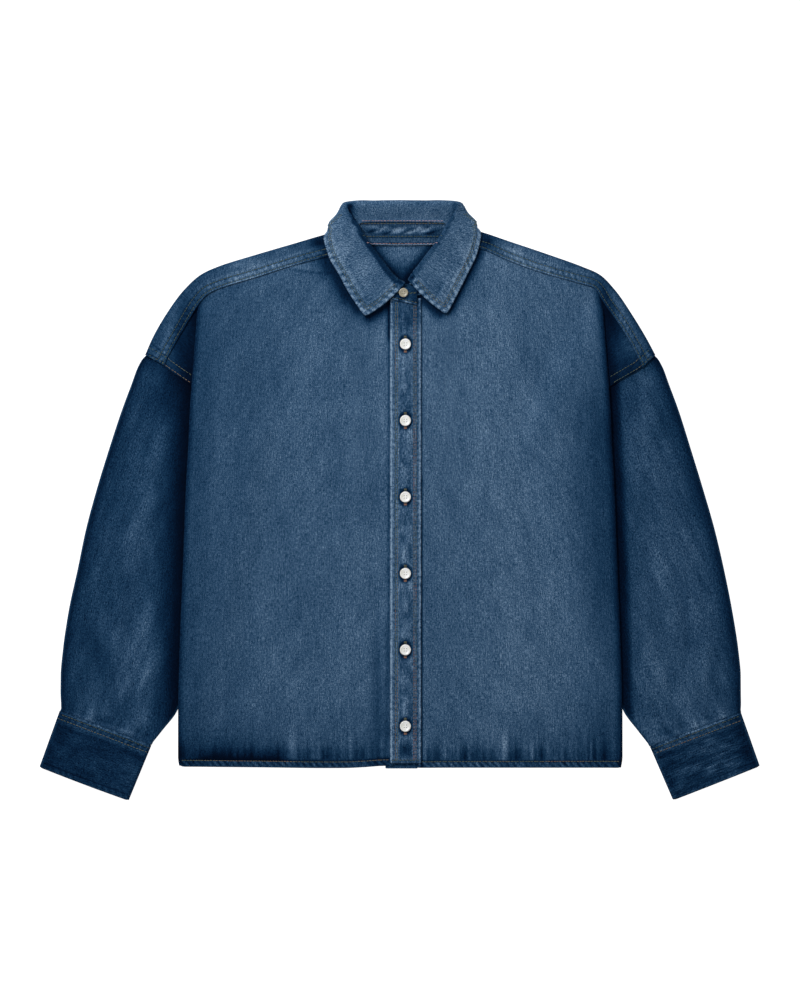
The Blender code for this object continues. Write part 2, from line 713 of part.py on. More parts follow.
def arc_through(points, knots, across):
    """A round curve through a few points, by Catmull and Rom's rule."""
    points = np.asarray(points, float)
    ends = np.vstack([2 * points[0] - points[1], points, 2 * points[-1] - points[-2]])
    made = []
    for at in across:
        span = min(int(np.searchsorted(knots, at, side="right")) - 1, len(points) - 2)
        t = (at - knots[span]) / (knots[span + 1] - knots[span])
        a, b, c, d = ends[span:span + 4]
        made.append(
            0.5 * (2 * b + (c - a) * t + (2 * a - 5 * b + 4 * c - d) * t * t
                   + (3 * b - a - 3 * c + d) * t ** 3)
        )
    return made


def collar_stand():
    """Middle surface of the stand, from its top edge to its foot."""
    sections = both_sides(STAND, RIGHT_STAND_END, LEFT_STAND_END)
    stations = np.arange(len(sections))
    finer = np.linspace(0, stations[-1], 2 * len(sections) - 1)
    rows = []
    for section in smooth(finer, stations, sections):
        top = section[0:3]
        foot = section[3:6]
        rows.append([top + (foot - top) * share for share in (0, 0.35, 0.7, 1)])
    return grid(rows)


# ---------------------------------------------------------------------------------------------------
# Buttons
# ---------------------------------------------------------------------------------------------------


def button_mesh(finish, group):
    """Mesh of one button: a turned disc with a sunk middle and four holes."""
    radius = BUTTON_DIAMETER / 2
    dish_wall, flat, bevel = BUTTON_RIM
    low = BUTTON_THICKNESS - BUTTON_DISH
    profile = (
        (0.0, low),
        (radius - dish_wall, low),
        (radius - flat, BUTTON_THICKNESS),
        (radius - bevel, BUTTON_THICKNESS),
        (radius, low),
        (radius - BUTTON_FOOT, 0.0),
        (0.0, 0.0),
    )
    mesh = bpy.data.meshes.new("button_profile")
    mesh.from_pydata(
        [(x * MM, 0, z * MM) for x, z in profile],
        [(i, i + 1) for i in range(len(profile) - 1)],
        [],
    )
    blank = bpy.data.objects.new("button_blank", mesh)
    group.objects.link(blank)
    turned = blank.modifiers.new("Turn", "SCREW")
    turned.angle = math.tau
    turned.steps = BUTTON_SIDES
    turned.render_steps = BUTTON_SIDES
    turned.use_merge_vertices = True
    turned.merge_threshold = 0.00001
    holes = []
    for x in (-HOLE_OFFSET, HOLE_OFFSET):
        for y in (-HOLE_OFFSET, HOLE_OFFSET):
            bpy.ops.mesh.primitive_cylinder_add(
                vertices=HOLE_SIDES,
                radius=HOLE_RADIUS * MM,
                depth=4 * BUTTON_THICKNESS * MM,
                location=(x * MM, y * MM, 0),
            )
            hole = bpy.context.object
            holes.append(hole)
            cut(blank, hole)
    bpy.context.view_layer.update()
    graph = bpy.context.evaluated_depsgraph_get()
    made = bpy.data.meshes.new_from_object(blank.evaluated_get(graph))
    made.name = "button"
    made.materials.clear()
    made.materials.append(finish)
    for thing in holes + [blank]:
        bpy.data.objects.remove(thing, do_unlink=True)
    return made


def buttons(finish, group):
    """The collar button, then the six down the placket."""
    mesh = button_mesh(finish, group)
    stand_top = TAB + STAND_WALL / 2
    placket_top = PLACKET + PLACKET_WALL / 2
    places = [(*COLLAR_BUTTON, stand_top + SEAM_GAP)]
    for index in range(FRONT_BUTTONS):
        places.append((BUTTON_X, BUTTON_TOP - index * BUTTON_PITCH, placket_top + SEAM_GAP))
    for number, place in enumerate(places, start=1):
        made = bpy.data.objects.new(f"button_{number}", mesh)
        made.location = [value * MM for value in place]
        group.objects.link(made)


# ---------------------------------------------------------------------------------------------------


def main():
    clear_scene()
    parts = collection("denim_shirt")
    cutters = collection("cutters")
    denim = material("denim", (0.035, 0.085, 0.17), 0.85)
    dark_denim = material("denim_dark", (0.018, 0.045, 0.10), 0.85)
    pearl = material("button_plastic", (0.82, 0.80, 0.76), 0.35)

    cloth("back", back(), PLY, dark_denim, parts)
    yoke_piece = cloth("yoke", yoke(), PLY, denim, parts)
    cut_neck(yoke_piece, cutters)
    cloth("front_right", front(-1), PLY, denim, parts, even=False)
    cloth("front_left", front(1), PLY, denim, parts, even=False)
    cloth("button_band", strip(BAND_SIDES, BAND_ENDS, BAND), BAND_WALL, denim, parts)
    cloth("placket", strip(PLACKET_SIDES, PLACKET_ENDS, PLACKET), PLACKET_WALL, denim, parts)
    for side, name in ((-1, "right"), (1, "left")):
        cloth(f"sleeve_{name}", sleeve(side), PLY, dark_denim, parts, ring=True)
        cloth(f"cuff_{name}", cuff(side), CUFF_WALL, dark_denim, parts, ring=True)
    cloth("collar_leaf", collar_leaf(), LEAF_WALL, denim, parts, even=False)
    cloth("collar_stand", collar_stand(), STAND_WALL, denim, parts, even=False)
    buttons(pearl, parts)


main()
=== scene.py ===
"""Denim shirt, laid flat: the looks. Every cloth piece is a fine shell on the form of its solid."""
import math

import bmesh
import bpy
import numpy as np
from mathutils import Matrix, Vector
from mathutils.bvhtree import BVHTree


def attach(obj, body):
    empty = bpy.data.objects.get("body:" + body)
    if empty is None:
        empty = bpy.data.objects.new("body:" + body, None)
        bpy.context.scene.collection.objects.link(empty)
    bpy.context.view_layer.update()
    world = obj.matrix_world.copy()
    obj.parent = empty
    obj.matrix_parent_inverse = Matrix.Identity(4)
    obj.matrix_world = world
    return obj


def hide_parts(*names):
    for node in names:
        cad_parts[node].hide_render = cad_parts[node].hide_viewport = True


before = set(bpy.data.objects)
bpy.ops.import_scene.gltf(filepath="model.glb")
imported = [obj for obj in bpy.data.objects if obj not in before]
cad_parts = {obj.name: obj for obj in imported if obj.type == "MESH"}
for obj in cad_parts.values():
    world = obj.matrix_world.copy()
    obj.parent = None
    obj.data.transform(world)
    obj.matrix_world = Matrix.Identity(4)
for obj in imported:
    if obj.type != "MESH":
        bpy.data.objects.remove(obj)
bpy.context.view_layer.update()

MM = 0.001
WEARER = {-1: "right", 1: "left"}  # the wearer's sides, by the sign of their x

# ---------- Sizes of the solids, in millimetres, as part.py has them ----------

PLY = 1.4
PLACKET_WALL = 2.2
BAND_WALL = 2.0
STAND_WALL = 2.0
CUFF_WALL = 2.0
SEAM_GAP = 0.3

TABLE_PLY = PLY / 2
BODY = 4.7
BAND = PLY + SEAM_GAP + BAND_WALL / 2
PLACKET = 6.8
HEM_DROP = 1.5
HEM_DROP_LENGTH = 48.0
YOKE_TUCK_DROP = 0.7
PLEAT_RISE_LENGTH = 46.0
LEFT_EDGE_LENGTH = 4.9
FLAP_END = 4.2
FLAP_END_RISE = 1.6

FRONT_EDGE = {-1: -8.4, 1: 19.6}
PLACKET_SIDES = (-12.4, 23.8)
PLACKET_ENDS = (232.0, -301.7)
BAND_SIDES = (-16.4, 19.2)
BAND_ENDS = (230.0, -308.2)
HEM = {-1: -306.6, 1: -308.0}
HEM_CORNER = {-1: 1.3, 1: 0.52}  # how much higher the corner beside the fold is
BACK_HEM = -303.5

BUTTON_X = 5.9
BUTTON_TOP = 179.3
BUTTON_PITCH = 87.8
FRONT_BUTTONS = 6
COLLAR_BUTTON = (3.7, 238.3)

COLLAR_MIDDLE = 2.5
NECK_SIDE = 63.5
BACK_NECK = 298.3


def table(names, *rows):
    """A table of named columns."""
    values = np.array(rows, float)
    return {name: values[:, column] for column, name in enumerate(names.split())}


SIDE = table(
    "y half depth top under crease turn flap",
    (238, 229.5, 0.0, 4.0, 4.0, 4.0, 0.0, 1.5),
    (231, 230.4, 0.0, 4.1, 4.1, 4.1, 0.0, 1.5),
    (224, 231.6, 0.0, 4.3, 4.3, 4.3, 0.0, 1.5),
    (214, 233.2, 1.9, 6.6, 4.9, 4.9, 1.0, 1.5),
    (200, 234.3, 10.0, 7.4, 5.7, 5.7, 1.0, 1.5),
    (160, 237.2, 33.5, 9.0, 7.3, 7.3, 1.0, 1.5),
    (134, 239.2, 47.0, 9.3, 7.5, 7.5, 1.0, 1.5),
    (95, 241.8, 67.0, 9.3, 7.5, 7.5, 1.0, 1.5),
    (86, 242.2, 71.0, 9.3, 7.5, 7.5, 0.75, 4.0),
    (79, 242.5, 74.0, 9.3, 7.1, 7.1, 0.5, 3.0),
    (72, 242.8, 75.5, 9.0, 6.2, 4.8, 0.25, 2.0),
    (64, 243.2, 75.0, 8.8, 5.9, 2.4, 0.0, 5.0),
    (23, 245.6, 68.0, 8.6, 5.7, 2.4, 0.0, 5.0),
    (-69, 249.2, 53.0, 8.4, 5.7, 2.4, 0.0, 5.0),
    (-161, 252.9, 37.0, 8.3, 5.7, 2.4, 0.0, 5.0),
    (-232, 254.8, 24.5, 8.0, 5.6, 2.4, 0.0, 5.0),
    (-262, 255.1, 18.0, 6.2, 3.6, 2.4, 0.0, 5.0),
    (-295, 255.2, 10.0, 5.0, 2.8, 2.4, 0.0, 5.0),
    (-310, 253.2, 8.0, 4.6, 2.4, 2.4, 0.0, 5.0),
)
FOLD_STARTS = 223.0
UNROLLED = 7.0
TURN_LENGTH = 2.7
TURN_SETBACK = 0.85
ARMHOLE_TOP = 238.0
ARMHOLE_BOTTOM = 95.0

FRONT_TOP = {
    -1: table(
        "x y",
        (-8.4, 235), (-20, 240.5), (-31.5, 248.5), (-46.3, 266.5), (-57.5, 286), (-64, 291), (-80.5, 288),
        (-122, 276.5), (-162, 263.6), (-190, 255), (-207, 249.4), (-220, 243), (-229.5, 238),
    ),
    1: table(
        "x y",
        (19.6, 235), (25, 239.5), (36.5, 248.5), (51.3, 267), (62.5, 287.5), (69, 296.5), (90, 296),
        (148, 273.5), (191, 260.4), (205, 256), (214, 252), (222, 247), (229.5, 241),
    ),
}
ARMHOLE = {
    -1: table(
        "y x", (234, -238.5), (226, -243), (212, -251), (196.6, -260), (175, -273.5), (162, -279.5),
        (153.5, -271), (142, -254.5), (133.6, -242.4), (118, -222), (104, -204), (92, -189),
    ),
    1: table(
        "y x", (235, 239.5), (228, 243.5), (214, 253), (198, 263), (175, 278), (160.5, 285),
        (151, 276), (141, 259), (133.6, 246), (118, 224), (104, 204), (92, 189),
    ),
}

YOKE = table(
    "fold_x fold_y seam_x seam_y back_x back_y height",
    (-293.6, 167.2, -271.5, 155.2, -257, 143.6, 7.6),
    (-285.2, 186.5, -265.9, 167.3, -246, 152, 7.6),
    (-269.4, 214.1, -251.4, 193.0, -230, 164, 7.1),
    (-249.3, 241.7, -232.0, 225.3, -208, 175, 6.3),
    (-228.9, 260.1, -222.0, 236.6, -188, 182, 6.0),
    (-208.8, 269.3, -209.4, 243.0, -170, 187, 5.8),
    (-165.0, 283.0, -164.2, 256.9, -130, 195, 5.7),
    (-123.0, 295.3, -123.9, 269.7, -95, 200, 5.7),
    (-92.0, 304.5, -82.0, 281.0, -65, 203, 5.7),
    (-62.0, 312.5, -55.0, 288.5, -40, 204, 5.7),
    (0.0, 316.0, 0.0, 293.0, 0, 205, 5.7),
    (62.0, 317.0, 58.0, 293.5, 40, 204, 5.7),
    (94.0, 308.7, 91.7, 289.1, 65, 203, 5.7),
    (125.8, 298.0, 121.0, 277.0, 95, 200, 5.7),
    (165.0, 284.8, 160.0, 262.6, 130, 195, 5.7),
    (208.5, 269.3, 205.0, 249.8, 170, 187, 5.8),
    (229.1, 260.1, 222.0, 244.5, 188, 182, 6.0),
    (247.5, 241.7, 235.3, 225.3, 208, 175, 6.4),
    (266.5, 214.1, 254.5, 198.0, 230, 164, 7.2),
    (283.2, 186.5, 271.0, 168.5, 246, 152, 7.6),
    (293.6, 167.2, 278.5, 153.0, 257, 143.6, 7.6),
)

BACK_SIDE = table(
    "t y half", (0, 143.2, 256), (0.07, 128, 235), (0.14, 106, 206), (0.21, 82, 175), (0.24, 72, 168),
    (0.3, 52, 171.5), (0.65, -120, 208), (1, BACK_HEM, 246),
)
BACK_MIDDLE_TOP = 204.7

SLEEVE = table(
    "outer_x outer_y inner_x inner_y lower upper",
    (286.5, 171, 193, 99.5, 2.5, 4.15),
    (296.0, 163.4, 186, 89, 2.4, 4.1),
    (302.2, 152.8, 178, 74, 1.9, 4.6),
    (309.5, 133, 175.5, 55, 1.2, 5.4),
    (320.5, 103, 180.5, 30, 0.7, 6.0),
    (335.0, 57, 190.5, -6, 0.7, 6.0),
    (348.5, 12, 200, -42, 0.7, 6.0),
    (361.0, -34, 211, -78, 0.7, 6.0),
    (371.5, -80, 222, -114, 0.7, 6.0),
    (380.5, -126, 233, -150, 0.7, 6.0),
    (387.5, -170, 243, -185, 0.7, 6.0),
    (390.6, -201, 248.0, -218.5, 0.7, 6.0),
    (391.0, -221, 257.0, -243, 0.7, 5.8),
    (390.6, -233, 272.4, -263.4, 0.9, 5.6),
    (390.4, -239.4, 284.4, -278.6, 1.4, 5.4),
    (391.3, -242.0, 286.2, -281.6, 1.8, 5.3),
    (388.6, -243.4, 291.0, -280.4, 3.0, 4.7),
    (390.0, -250.4, 295.0, -286, 3.0, 4.7),
)
SLEEVE_WIDER = table(
    "y right left",
    (150, 0, 0), (100, 0.2, 0.1), (57, 0.8, 0.1), (0, 1.1, 0.5), (-46, 0.8, 1.2), (-80, 0, 1.3),
    (-130, 1.0, 1.5), (-150, 0.8, 1.1), (-185, 0.5, 1.7), (-215, 0.2, 1.1), (-236, 0, 1.3),
    (-243, 0, 0.4),
)
SLEEVE_TUCKED = 4.0
SLEEVE_CLEAR = (4, 30)
ARMHOLE_BOW = 4.5
ARMHOLE_RINGS = 5

CUFF_TOP = ((391.4, -242.6), (287.6, -282.0))
CUFF_BOTTOM = ((413.0, -305.2), (314.8, -343.9))
CUFF_DROP = {-1: 0.0, 1: 1.7}  # how much lower the cuff's top edge lies than in the solid
CUFF_WIDER_TOP = {-1: (0.6, 1.3), 1: (0.1, 1.0)}  # at the outer and the inner corner
CUFF_WIDER_MOUTH = {-1: (1.5, 2.8), 1: (0.5, 1.4)}
CUFF_LONGER = {-1: 1.7, 1: 0.0}  # at the mouth's outer corner
CUFF_BOW = {-1: 0.5, 1: 0.2}
CUFF_INSIDE = 3.8

LEAF = table(
    "edge_x edge_y edge_z side_x side_y side_z roll_x roll_y roll_z seam_x seam_y seam_z",
    (0.0, 333.0, 1.3, 0.0, 342.9, 8.0, 0.0, 340.0, 18.6, 0.0, 322.5, 14.0),
    (28.0, 333.0, 1.3, 28.5, 342.9, 8.0, 28.0, 340.0, 18.3, 27.5, 322.3, 13.8),
    (48.0, 332.8, 1.3, 53.0, 342.6, 8.0, 51.0, 339.4, 17.6, 47.0, 321.5, 13.0),
    (58.0, 331.0, 1.4, 67.0, 340.8, 8.0, 63.8, 337.2, 16.8, 53.0, 317.0, 12.2),
    (68.0, 323.0, 1.7, 75.3, 328.4, 8.0, 60.2, 329.6, 16.4, 52.4, 311.8, 11.4),
    (80.0, 313.5, 4.4, 83.9, 316.6, 9.0, 53.4, 318.2, 15.8, 50.8, 306.0, 10.6),
    (90.0, 301.8, 8.6, 76.0, 304.6, 11.6, 46.2, 305.4, 15.0, 47.6, 300.0, 9.6),
    (84.6, 281.0, 8.2, 61.4, 286.0, 11.6, 36.0, 290.8, 14.0, 38.5, 286.8, 8.6),
    (73.0, 258.6, 8.4, 49.4, 266.4, 11.4, 23.2, 274.0, 13.2, 26.6, 270.4, 8.2),
    (61.3, 236.2, 8.9, 36.9, 246.8, 11.6, 9.6, 256.8, 12.8, 13.6, 252.6, 8.6),
)
RIGHT_LEAF_END = (43.7, 210.6, 10.4, 20.6, 226.2, 12.0, -2.4, 248.3, 13.0, 2.2, 246.0, 9.4)
LEFT_LEAF_END = (48.2, 210.7, 9.6, 28.4, 228.4, 11.4, 7.8, 251.8, 12.2, 10.6, 250.0, 7.4)
LEAF_WIDER = {-1: (0.0, -0.8, -1.3, -1.1), 1: (1.2, 2.4, 2.8, 2.6)}  # at the four sections next to each end
LEAF_WIDER_WAY = (0.89, -0.45)
LEFT_LEAF_LIFT = 4.0

STAND = table(
    "top_x top_y top_z foot_x foot_y foot_z",
    (0.0, 320.6, 13.4, 0.0, 293.4, 2.8),
    (27.4, 320.4, 13.2, 27.0, 293.7, 2.8),
    (46.2, 319.6, 12.4, 44.0, 295.0, 3.1),
    (50.4, 312.4, 10.2, 53.0, 296.2, 4.0),
    (51.2, 306.2, 9.1, 58.5, 295.8, 5.4),
    (50.2, 301.2, 8.6, 60.8, 293.4, 6.9),
    (47.8, 296.0, 8.0, 64.5, 287.4, 7.9),
    (37.6, 284.2, 7.9, 57.3, 274.6, 7.9),
    (26.2, 268.0, 7.9, 44.3, 257.3, 7.9),
    (13.6, 250.2, 7.9, 27.6, 239.6, 8.2),
)
TAB = 9.2
UNDER_TAB = 6.7
RIGHT_STAND_END = (
    (1.4, 244.0, TAB, 12.3, 231.3, TAB),
    (-8.0, 245.6, TAB, -4.0, 227.4, TAB),
    (-16.6, 246.4, TAB, -16.8, 224.4, TAB),
)
LEFT_STAND_END = (
    (7.2, 248.0, UNDER_TAB, 15.2, 235.4, UNDER_TAB),
    (-2.0, 249.0, UNDER_TAB, 2.0, 234.6, UNDER_TAB),
    (-10.4, 249.6, UNDER_TAB, -10.4, 236.4, UNDER_TAB),
)

# ---------- Looks, in millimetres too ----------

THIN = 1.1  # one ply as it is drawn
DOUBLE = 1.9  # two plies
STRIP = 1.8  # the button band and the collar stand
BACK_DRAWN = 1.3

BACK_TONE = 0.48
BAND_TONE = 0.3
STAND_TONE = 0.34
STAND_BACK_LIGHTER = 0.16
NECK_TONE = 0.57
FLAP_TONE = 0.12

THREAD = 0.8
STITCH = 2.9
STITCH_GAP = 0.7


# ---------- Curves and noise ----------


def ease(value):
    """A smooth step from 0 to 1."""
    value = np.clip(value, 0.0, 1.0)
    return value * value * (3 - 2 * value)


def smooth(at, knots, values):
    """A curve through the knots that doesn't swing past them. values may have several columns."""
    knots = np.asarray(knots, float)
    values = np.asarray(values, float)
    if knots[0] > knots[-1]:
        knots = knots[::-1]
        values = values[::-1]
    widths = np.diff(knots)
    shape = (-1,) + (1,) * (values.ndim - 1)
    slopes = np.diff(values, axis=0) / widths.reshape(shape)
    before = slopes[:-1]
    after = slopes[1:]
    same = before * after > 0
    mean = np.where(same, 2 * before * after / np.where(same, before + after, 1), 0)
    tangents = np.concatenate([slopes[:1], mean, slopes[-1:]])
    at = np.clip(np.asarray(at, float), knots[0], knots[-1])
    span = np.clip(np.searchsorted(knots, at) - 1, 0, len(widths) - 1)
    width = widths[span].reshape(np.shape(at) + (1,) * (values.ndim - 1))
    t = ((at - knots[span]) / widths[span]).reshape(width.shape)
    return (
        (1 + 2 * t) * (1 - t) ** 2 * values[span]
        + t * (1 - t) ** 2 * width * tangents[span]
        + t * t * (3 - 2 * t) * values[span + 1]
        - t * t * (1 - t) * width * tangents[span + 1]
    )


def bell(value, middle, width):
    """A soft hump of height 1 round the middle."""
    return np.exp(-((value - middle) / width) ** 2)


def spot(x, y, cx, cy, rx, ry):
    """A soft spot of height 1 round a point."""
    return np.exp(-((x - cx) / rx) ** 2 - ((y - cy) / ry) ** 2)


def unit(vector):
    """A direction of length 1."""
    return vector / np.linalg.norm(vector)


def distances(path):
    """How far along a path each of its points is."""
    return np.concatenate([[0], np.cumsum(np.linalg.norm(np.diff(path, axis=0), axis=1))])


def row_distances(points):
    """How far along its row each point of a grid is."""
    steps = np.linalg.norm(np.diff(points, axis=1), axis=2)
    return np.concatenate([np.zeros((len(points), 1)), np.cumsum(steps, axis=1)], axis=1)


def columns_of(rows, names):
    """Some columns of a table side by side."""
    return np.column_stack([rows[name] for name in names.split()])


def read(rows, name, at, key="y"):
    """The value of one column of a table, where the column key has the value at."""
    return smooth(at, rows[key], rows[name])


def hashed(*cells):
    """A repeatable number from 0 to 1 for each whole-numbered cell."""
    mixed = 0.0
    for cell, weight in zip(cells, (12.9898, 78.233, 37.719)):
        mixed = mixed + np.asarray(cell, float) * weight
    return np.mod(np.sin(mixed) * 43758.5453, 1.0)


def noise1(x, seed):
    """Smooth noise from -1 to 1 along a line, one hump for each unit."""
    x = np.asarray(x, float)
    cell = np.floor(x)
    t = ease(x - cell)
    return 2 * ((1 - t) * hashed(cell, seed) + t * hashed(cell + 1, seed)) - 1


def noise2(x, y, seed):
    """Smooth noise from -1 to 1 over a plane."""
    x = np.asarray(x, float)
    y = np.asarray(y, float)
    cx = np.floor(x)
    cy = np.floor(y)
    tx = ease(x - cx)
    ty = ease(y - cy)
    low = (1 - tx) * hashed(cx, cy, seed) + tx * hashed(cx + 1, cy, seed)
    high = (1 - tx) * hashed(cx, cy + 1, seed) + tx * hashed(cx + 1, cy + 1, seed)
    return 2 * ((1 - ty) * low + ty * high) - 1


def spaced(start, end, step):
    """Even steps of about the given size, with both ends."""
    return np.linspace(start, end, max(2, int(round(abs(end - start) / step)) + 1))


def merged(*parts):
    """Sorted values of several lists, with near doubles left out."""
    values = np.sort(np.concatenate([np.atleast_1d(np.asarray(part, float)) for part in parts]))
    keep = np.concatenate([[True], np.diff(values) > 0.12])
    return values[keep]


def creases(rows, x, y):
    """Height that soft troughs (negative) and ridges (positive) add at points. Each row holds x, y,
    angle, length, width, height and bow."""
    total = np.zeros(np.broadcast(x, y).shape)
    for index, (cx, cy, angle, length, width, height, bow) in enumerate(rows):
        turn = math.radians(angle)
        along = ((x - cx) * math.cos(turn) + (y - cy) * math.sin(turn)) / (length / 2)
        across = -(x - cx) * math.sin(turn) + (y - cy) * math.cos(turn) - bow * along ** 2
        spread = width * (1 + 0.25 * noise1(along * 2.3, index + 5))
        total = total + height * ease(1.15 * (1 - np.abs(along))) * bell(across, 0, spread)
    return total


# ---------- Meshes ----------


def grid_normals(points):
    """Unit normals of a grid of points."""
    normals = np.cross(np.gradient(points, axis=1), np.gradient(points, axis=0))
    return normals / np.maximum(np.linalg.norm(normals, axis=2, keepdims=True), 1e-9)


def placed(name, data):
    """A new object in the scene."""
    made = bpy.data.objects.new(name, data)
    bpy.context.scene.collection.objects.link(made)
    return made


def mesh_from_grid(name, points, layers, ring, flip):
    """A mesh of quads through a grid of points in millimetres. layers are point attributes."""
    down, across = points.shape[:2]
    index = np.arange(down * across).reshape(down, across)
    following = np.roll(index, -1, axis=1)
    columns = slice(None) if ring else slice(0, across - 1)
    quads = np.stack(
        [index[:-1, columns], following[:-1, columns], following[1:, columns], index[1:, columns]], axis=-1
    ).reshape(-1, 4)
    if flip:
        quads = quads[:, ::-1]
    mesh = bpy.data.meshes.new(name)
    mesh.from_pydata((points.reshape(-1, 3) * MM).tolist(), [], quads.tolist())
    for key, values in layers.items():
        kind, field = ("FLOAT_VECTOR", "vector") if values.ndim == 3 else ("FLOAT", "value")
        layer = mesh.attributes.new(key, kind, "POINT")
        layer.data.foreach_set(field, values.astype(np.float32).ravel())
    mesh.shade_smooth()
    return mesh


def cloth(name, points, wall, finish, grain, tone, ring=False, even=True, flip=False):
    """A cloth shell round a grid of points, standing for the solid of the same name. grain holds the
    cloth's own coordinates, across and along the warp, and a number that sets its weave apart."""
    layers = {"grain": np.stack(np.broadcast_arrays(*grain), axis=-1).astype(float), "tone": tone}
    mesh = mesh_from_grid(name, points, layers, ring, flip)
    mesh.materials.append(finish)
    made = placed(f"{name}_cloth", mesh)
    thick = made.modifiers.new("Wall", "SOLIDIFY")
    thick.thickness = wall * MM
    thick.offset = 0.0
    thick.use_even_offset = even
    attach(made, "root")
    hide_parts(name)
    return made


def tree_of(made):
    """A search tree over the finished mesh of a piece."""
    graph = bpy.context.evaluated_depsgraph_get()
    shape = made.evaluated_get(graph)
    mesh = shape.to_mesh()
    tree = BVHTree.FromPolygons(
        [v.co.copy() for v in mesh.vertices], [tuple(p.vertices) for p in mesh.polygons], epsilon=0.0
    )
    shape.to_mesh_clear()
    return tree


def drop(tree, path):
    """Points and normals where a path of (x, y) in millimetres meets the top of a piece."""
    found = []
    for x, y in path:
        hit = tree.ray_cast(Vector((x * MM, y * MM, 0.1)), Vector((0, 0, -1)))
        found.append((hit[0] / MM, hit[1]) if hit[0] is not None else None)
    return found


# ---------- Stitches ----------

STITCH_SIDES = 5
STITCH_SUNK = 0.7
STEEPEST_STITCH = 1.5  # difference in height between its ends
STITCH_RINGS = (  # place along the stitch, width, height
    (-1.0, 0.35, -0.25), (-0.72, 0.95, 0.18), (0.0, 1.0, 0.42), (0.72, 0.95, 0.18), (1.0, 0.35, -0.25),
)


class Thread:
    """Collects stitches and makes one mesh of them."""

    def __init__(self, name, thickness=THREAD):
        self.name = name
        self.radius = thickness / 2
        self.verts = []
        self.faces = []
        self.tints = []

    def stitch(self, middle, along, normal, length, tint):
        along = unit(along)
        side = unit(np.cross(normal, along))
        up = np.cross(along, side)
        base = len(self.verts)
        for place, width, height in STITCH_RINGS:
            centre = middle + along * place * length / 2 + up * height * self.radius * 2 * STITCH_SUNK
            for step in range(STITCH_SIDES):
                angle = math.tau * step / STITCH_SIDES
                offset = side * math.cos(angle) + up * math.sin(angle)
                self.verts.append(centre + offset * self.radius * width)
                self.tints.append(tint)
        n = STITCH_SIDES
        for ring in range(len(STITCH_RINGS) - 1):
            for step in range(n):
                a = base + ring * n + step
                b = base + ring * n + (step + 1) % n
                self.faces.append((a, b, b + n, a + n))
        last = base + (len(STITCH_RINGS) - 1) * n
        self.faces.append(tuple(base + step for step in reversed(range(n))))
        self.faces.append(tuple(last + step for step in range(n)))

    def row(self, tree, path, seed, tint=0.5, drift=0.35, pitch=STITCH + STITCH_GAP):
        """A row of stitches on the top of a piece, along a path of (x, y)."""
        path = np.asarray(path, float)
        lengths = distances(path)
        count = max(1, int(lengths[-1] / pitch))
        for index in range(count):
            jitter = 0.12 * noise1(index * 1.7, seed)
            places = (np.array([index + 0.1, index + 0.9]) + jitter) * lengths[-1] / count
            ends = np.column_stack([np.interp(places, lengths, path[:, k]) for k in (0, 1)])
            hits = drop(tree, ends)
            if None in hits:
                continue
            (a, normal_a), (b, normal_b) = hits
            if abs(a.z - b.z) > STEEPEST_STITCH:
                continue
            normal = np.array((normal_a + normal_b).normalized())
            a = np.array(a)
            b = np.array(b)
            shade = tint + drift * noise1(index * 0.11, seed + 3) + 0.12 * noise1(index * 0.9, seed + 7)
            self.stitch((a + b) / 2, b - a, normal, STITCH, shade)

    def make(self, finish):
        mesh = bpy.data.meshes.new(self.name)
        mesh.from_pydata((np.array(self.verts) * MM).tolist(), [], self.faces)
        layer = mesh.attributes.new("tint", "FLOAT", "POINT")
        layer.data.foreach_set("value", np.array(self.tints, np.float32))
        mesh.shade_smooth()
        mesh.materials.append(finish)
        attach(placed(self.name, mesh), "root")


def offset_path(path, distance):
    """A path of (x, y) moved sideways, to its left for a positive distance."""
    path = np.asarray(path, float)
    along = np.gradient(path, axis=0)
    along /= np.linalg.norm(along, axis=1, keepdims=True)
    return path + np.column_stack([-along[:, 1], along[:, 0]]) * distance


def dense(path, step=2.0):
    """A path with points at even steps, round its corners."""
    path = np.asarray(path, float)
    lengths = distances(path)
    places = spaced(0, lengths[-1], step)
    return np.column_stack([np.interp(places, lengths, path[:, k]) for k in (0, 1)])


def curved(knots, step=2.0):
    """A smooth path through knots of (x, y), at even steps."""
    lengths = distances(knots)
    return smooth(spaced(0, lengths[-1], step), lengths, knots)


# ---------- Seam relief: heights and tones that depend on the distance from a sewn edge ----------


def groove(distance, at, depth=0.3, width=0.9):
    """The dent that a row of stitches pulls into the cloth."""
    return -depth * bell(distance, at, width)


def grooves(distance, rows, depth, width):
    """The dents of several rows of stitches."""
    return sum(groove(distance, row, depth, width) for row in rows)


def patches(spots, x, y):
    """Soft lighter and darker spots of the cloth: x, y, half width, half height, how much."""
    return sum(much * spot(x, y, cx, cy, rx, ry) for cx, cy, rx, ry, much in spots)


def puckers(along, distance, seed, length=7.0, reach=(0.0, 9.0), slant=0.4):
    """Uneven ripples beside a seam, from -1 to 1, that fade beyond the reach."""
    phase = along + slant * distance + 1.6 * noise1(along / 19, seed)
    wave = np.sin(math.tau * phase / length) * (0.65 + 0.35 * noise1(along / 11, seed + 1))
    wave = wave + 0.35 * noise1(along / (length * 0.37), seed + 2)
    fade = ease((distance - reach[0] + 1) / 1.5) * (1 - ease((distance - reach[1]) / 2.5))
    return wave * fade


# ---------- Fronts ----------


def top_edge(side, x):
    """How high a front reaches, under the yoke's seam."""
    return read(FRONT_TOP[side], "y", x, key="x")


def hem_edge(side, share):
    """Where a front's hem is, at a share of the way from its front edge to its folded side."""
    return HEM[side] + HEM_CORNER[side] * ease((share - 0.985) / 0.015)


FOLD_POINTS = 7
UNDER_POINTS = 9
TURN_POINTS = 5
FLAP_POINTS = 16


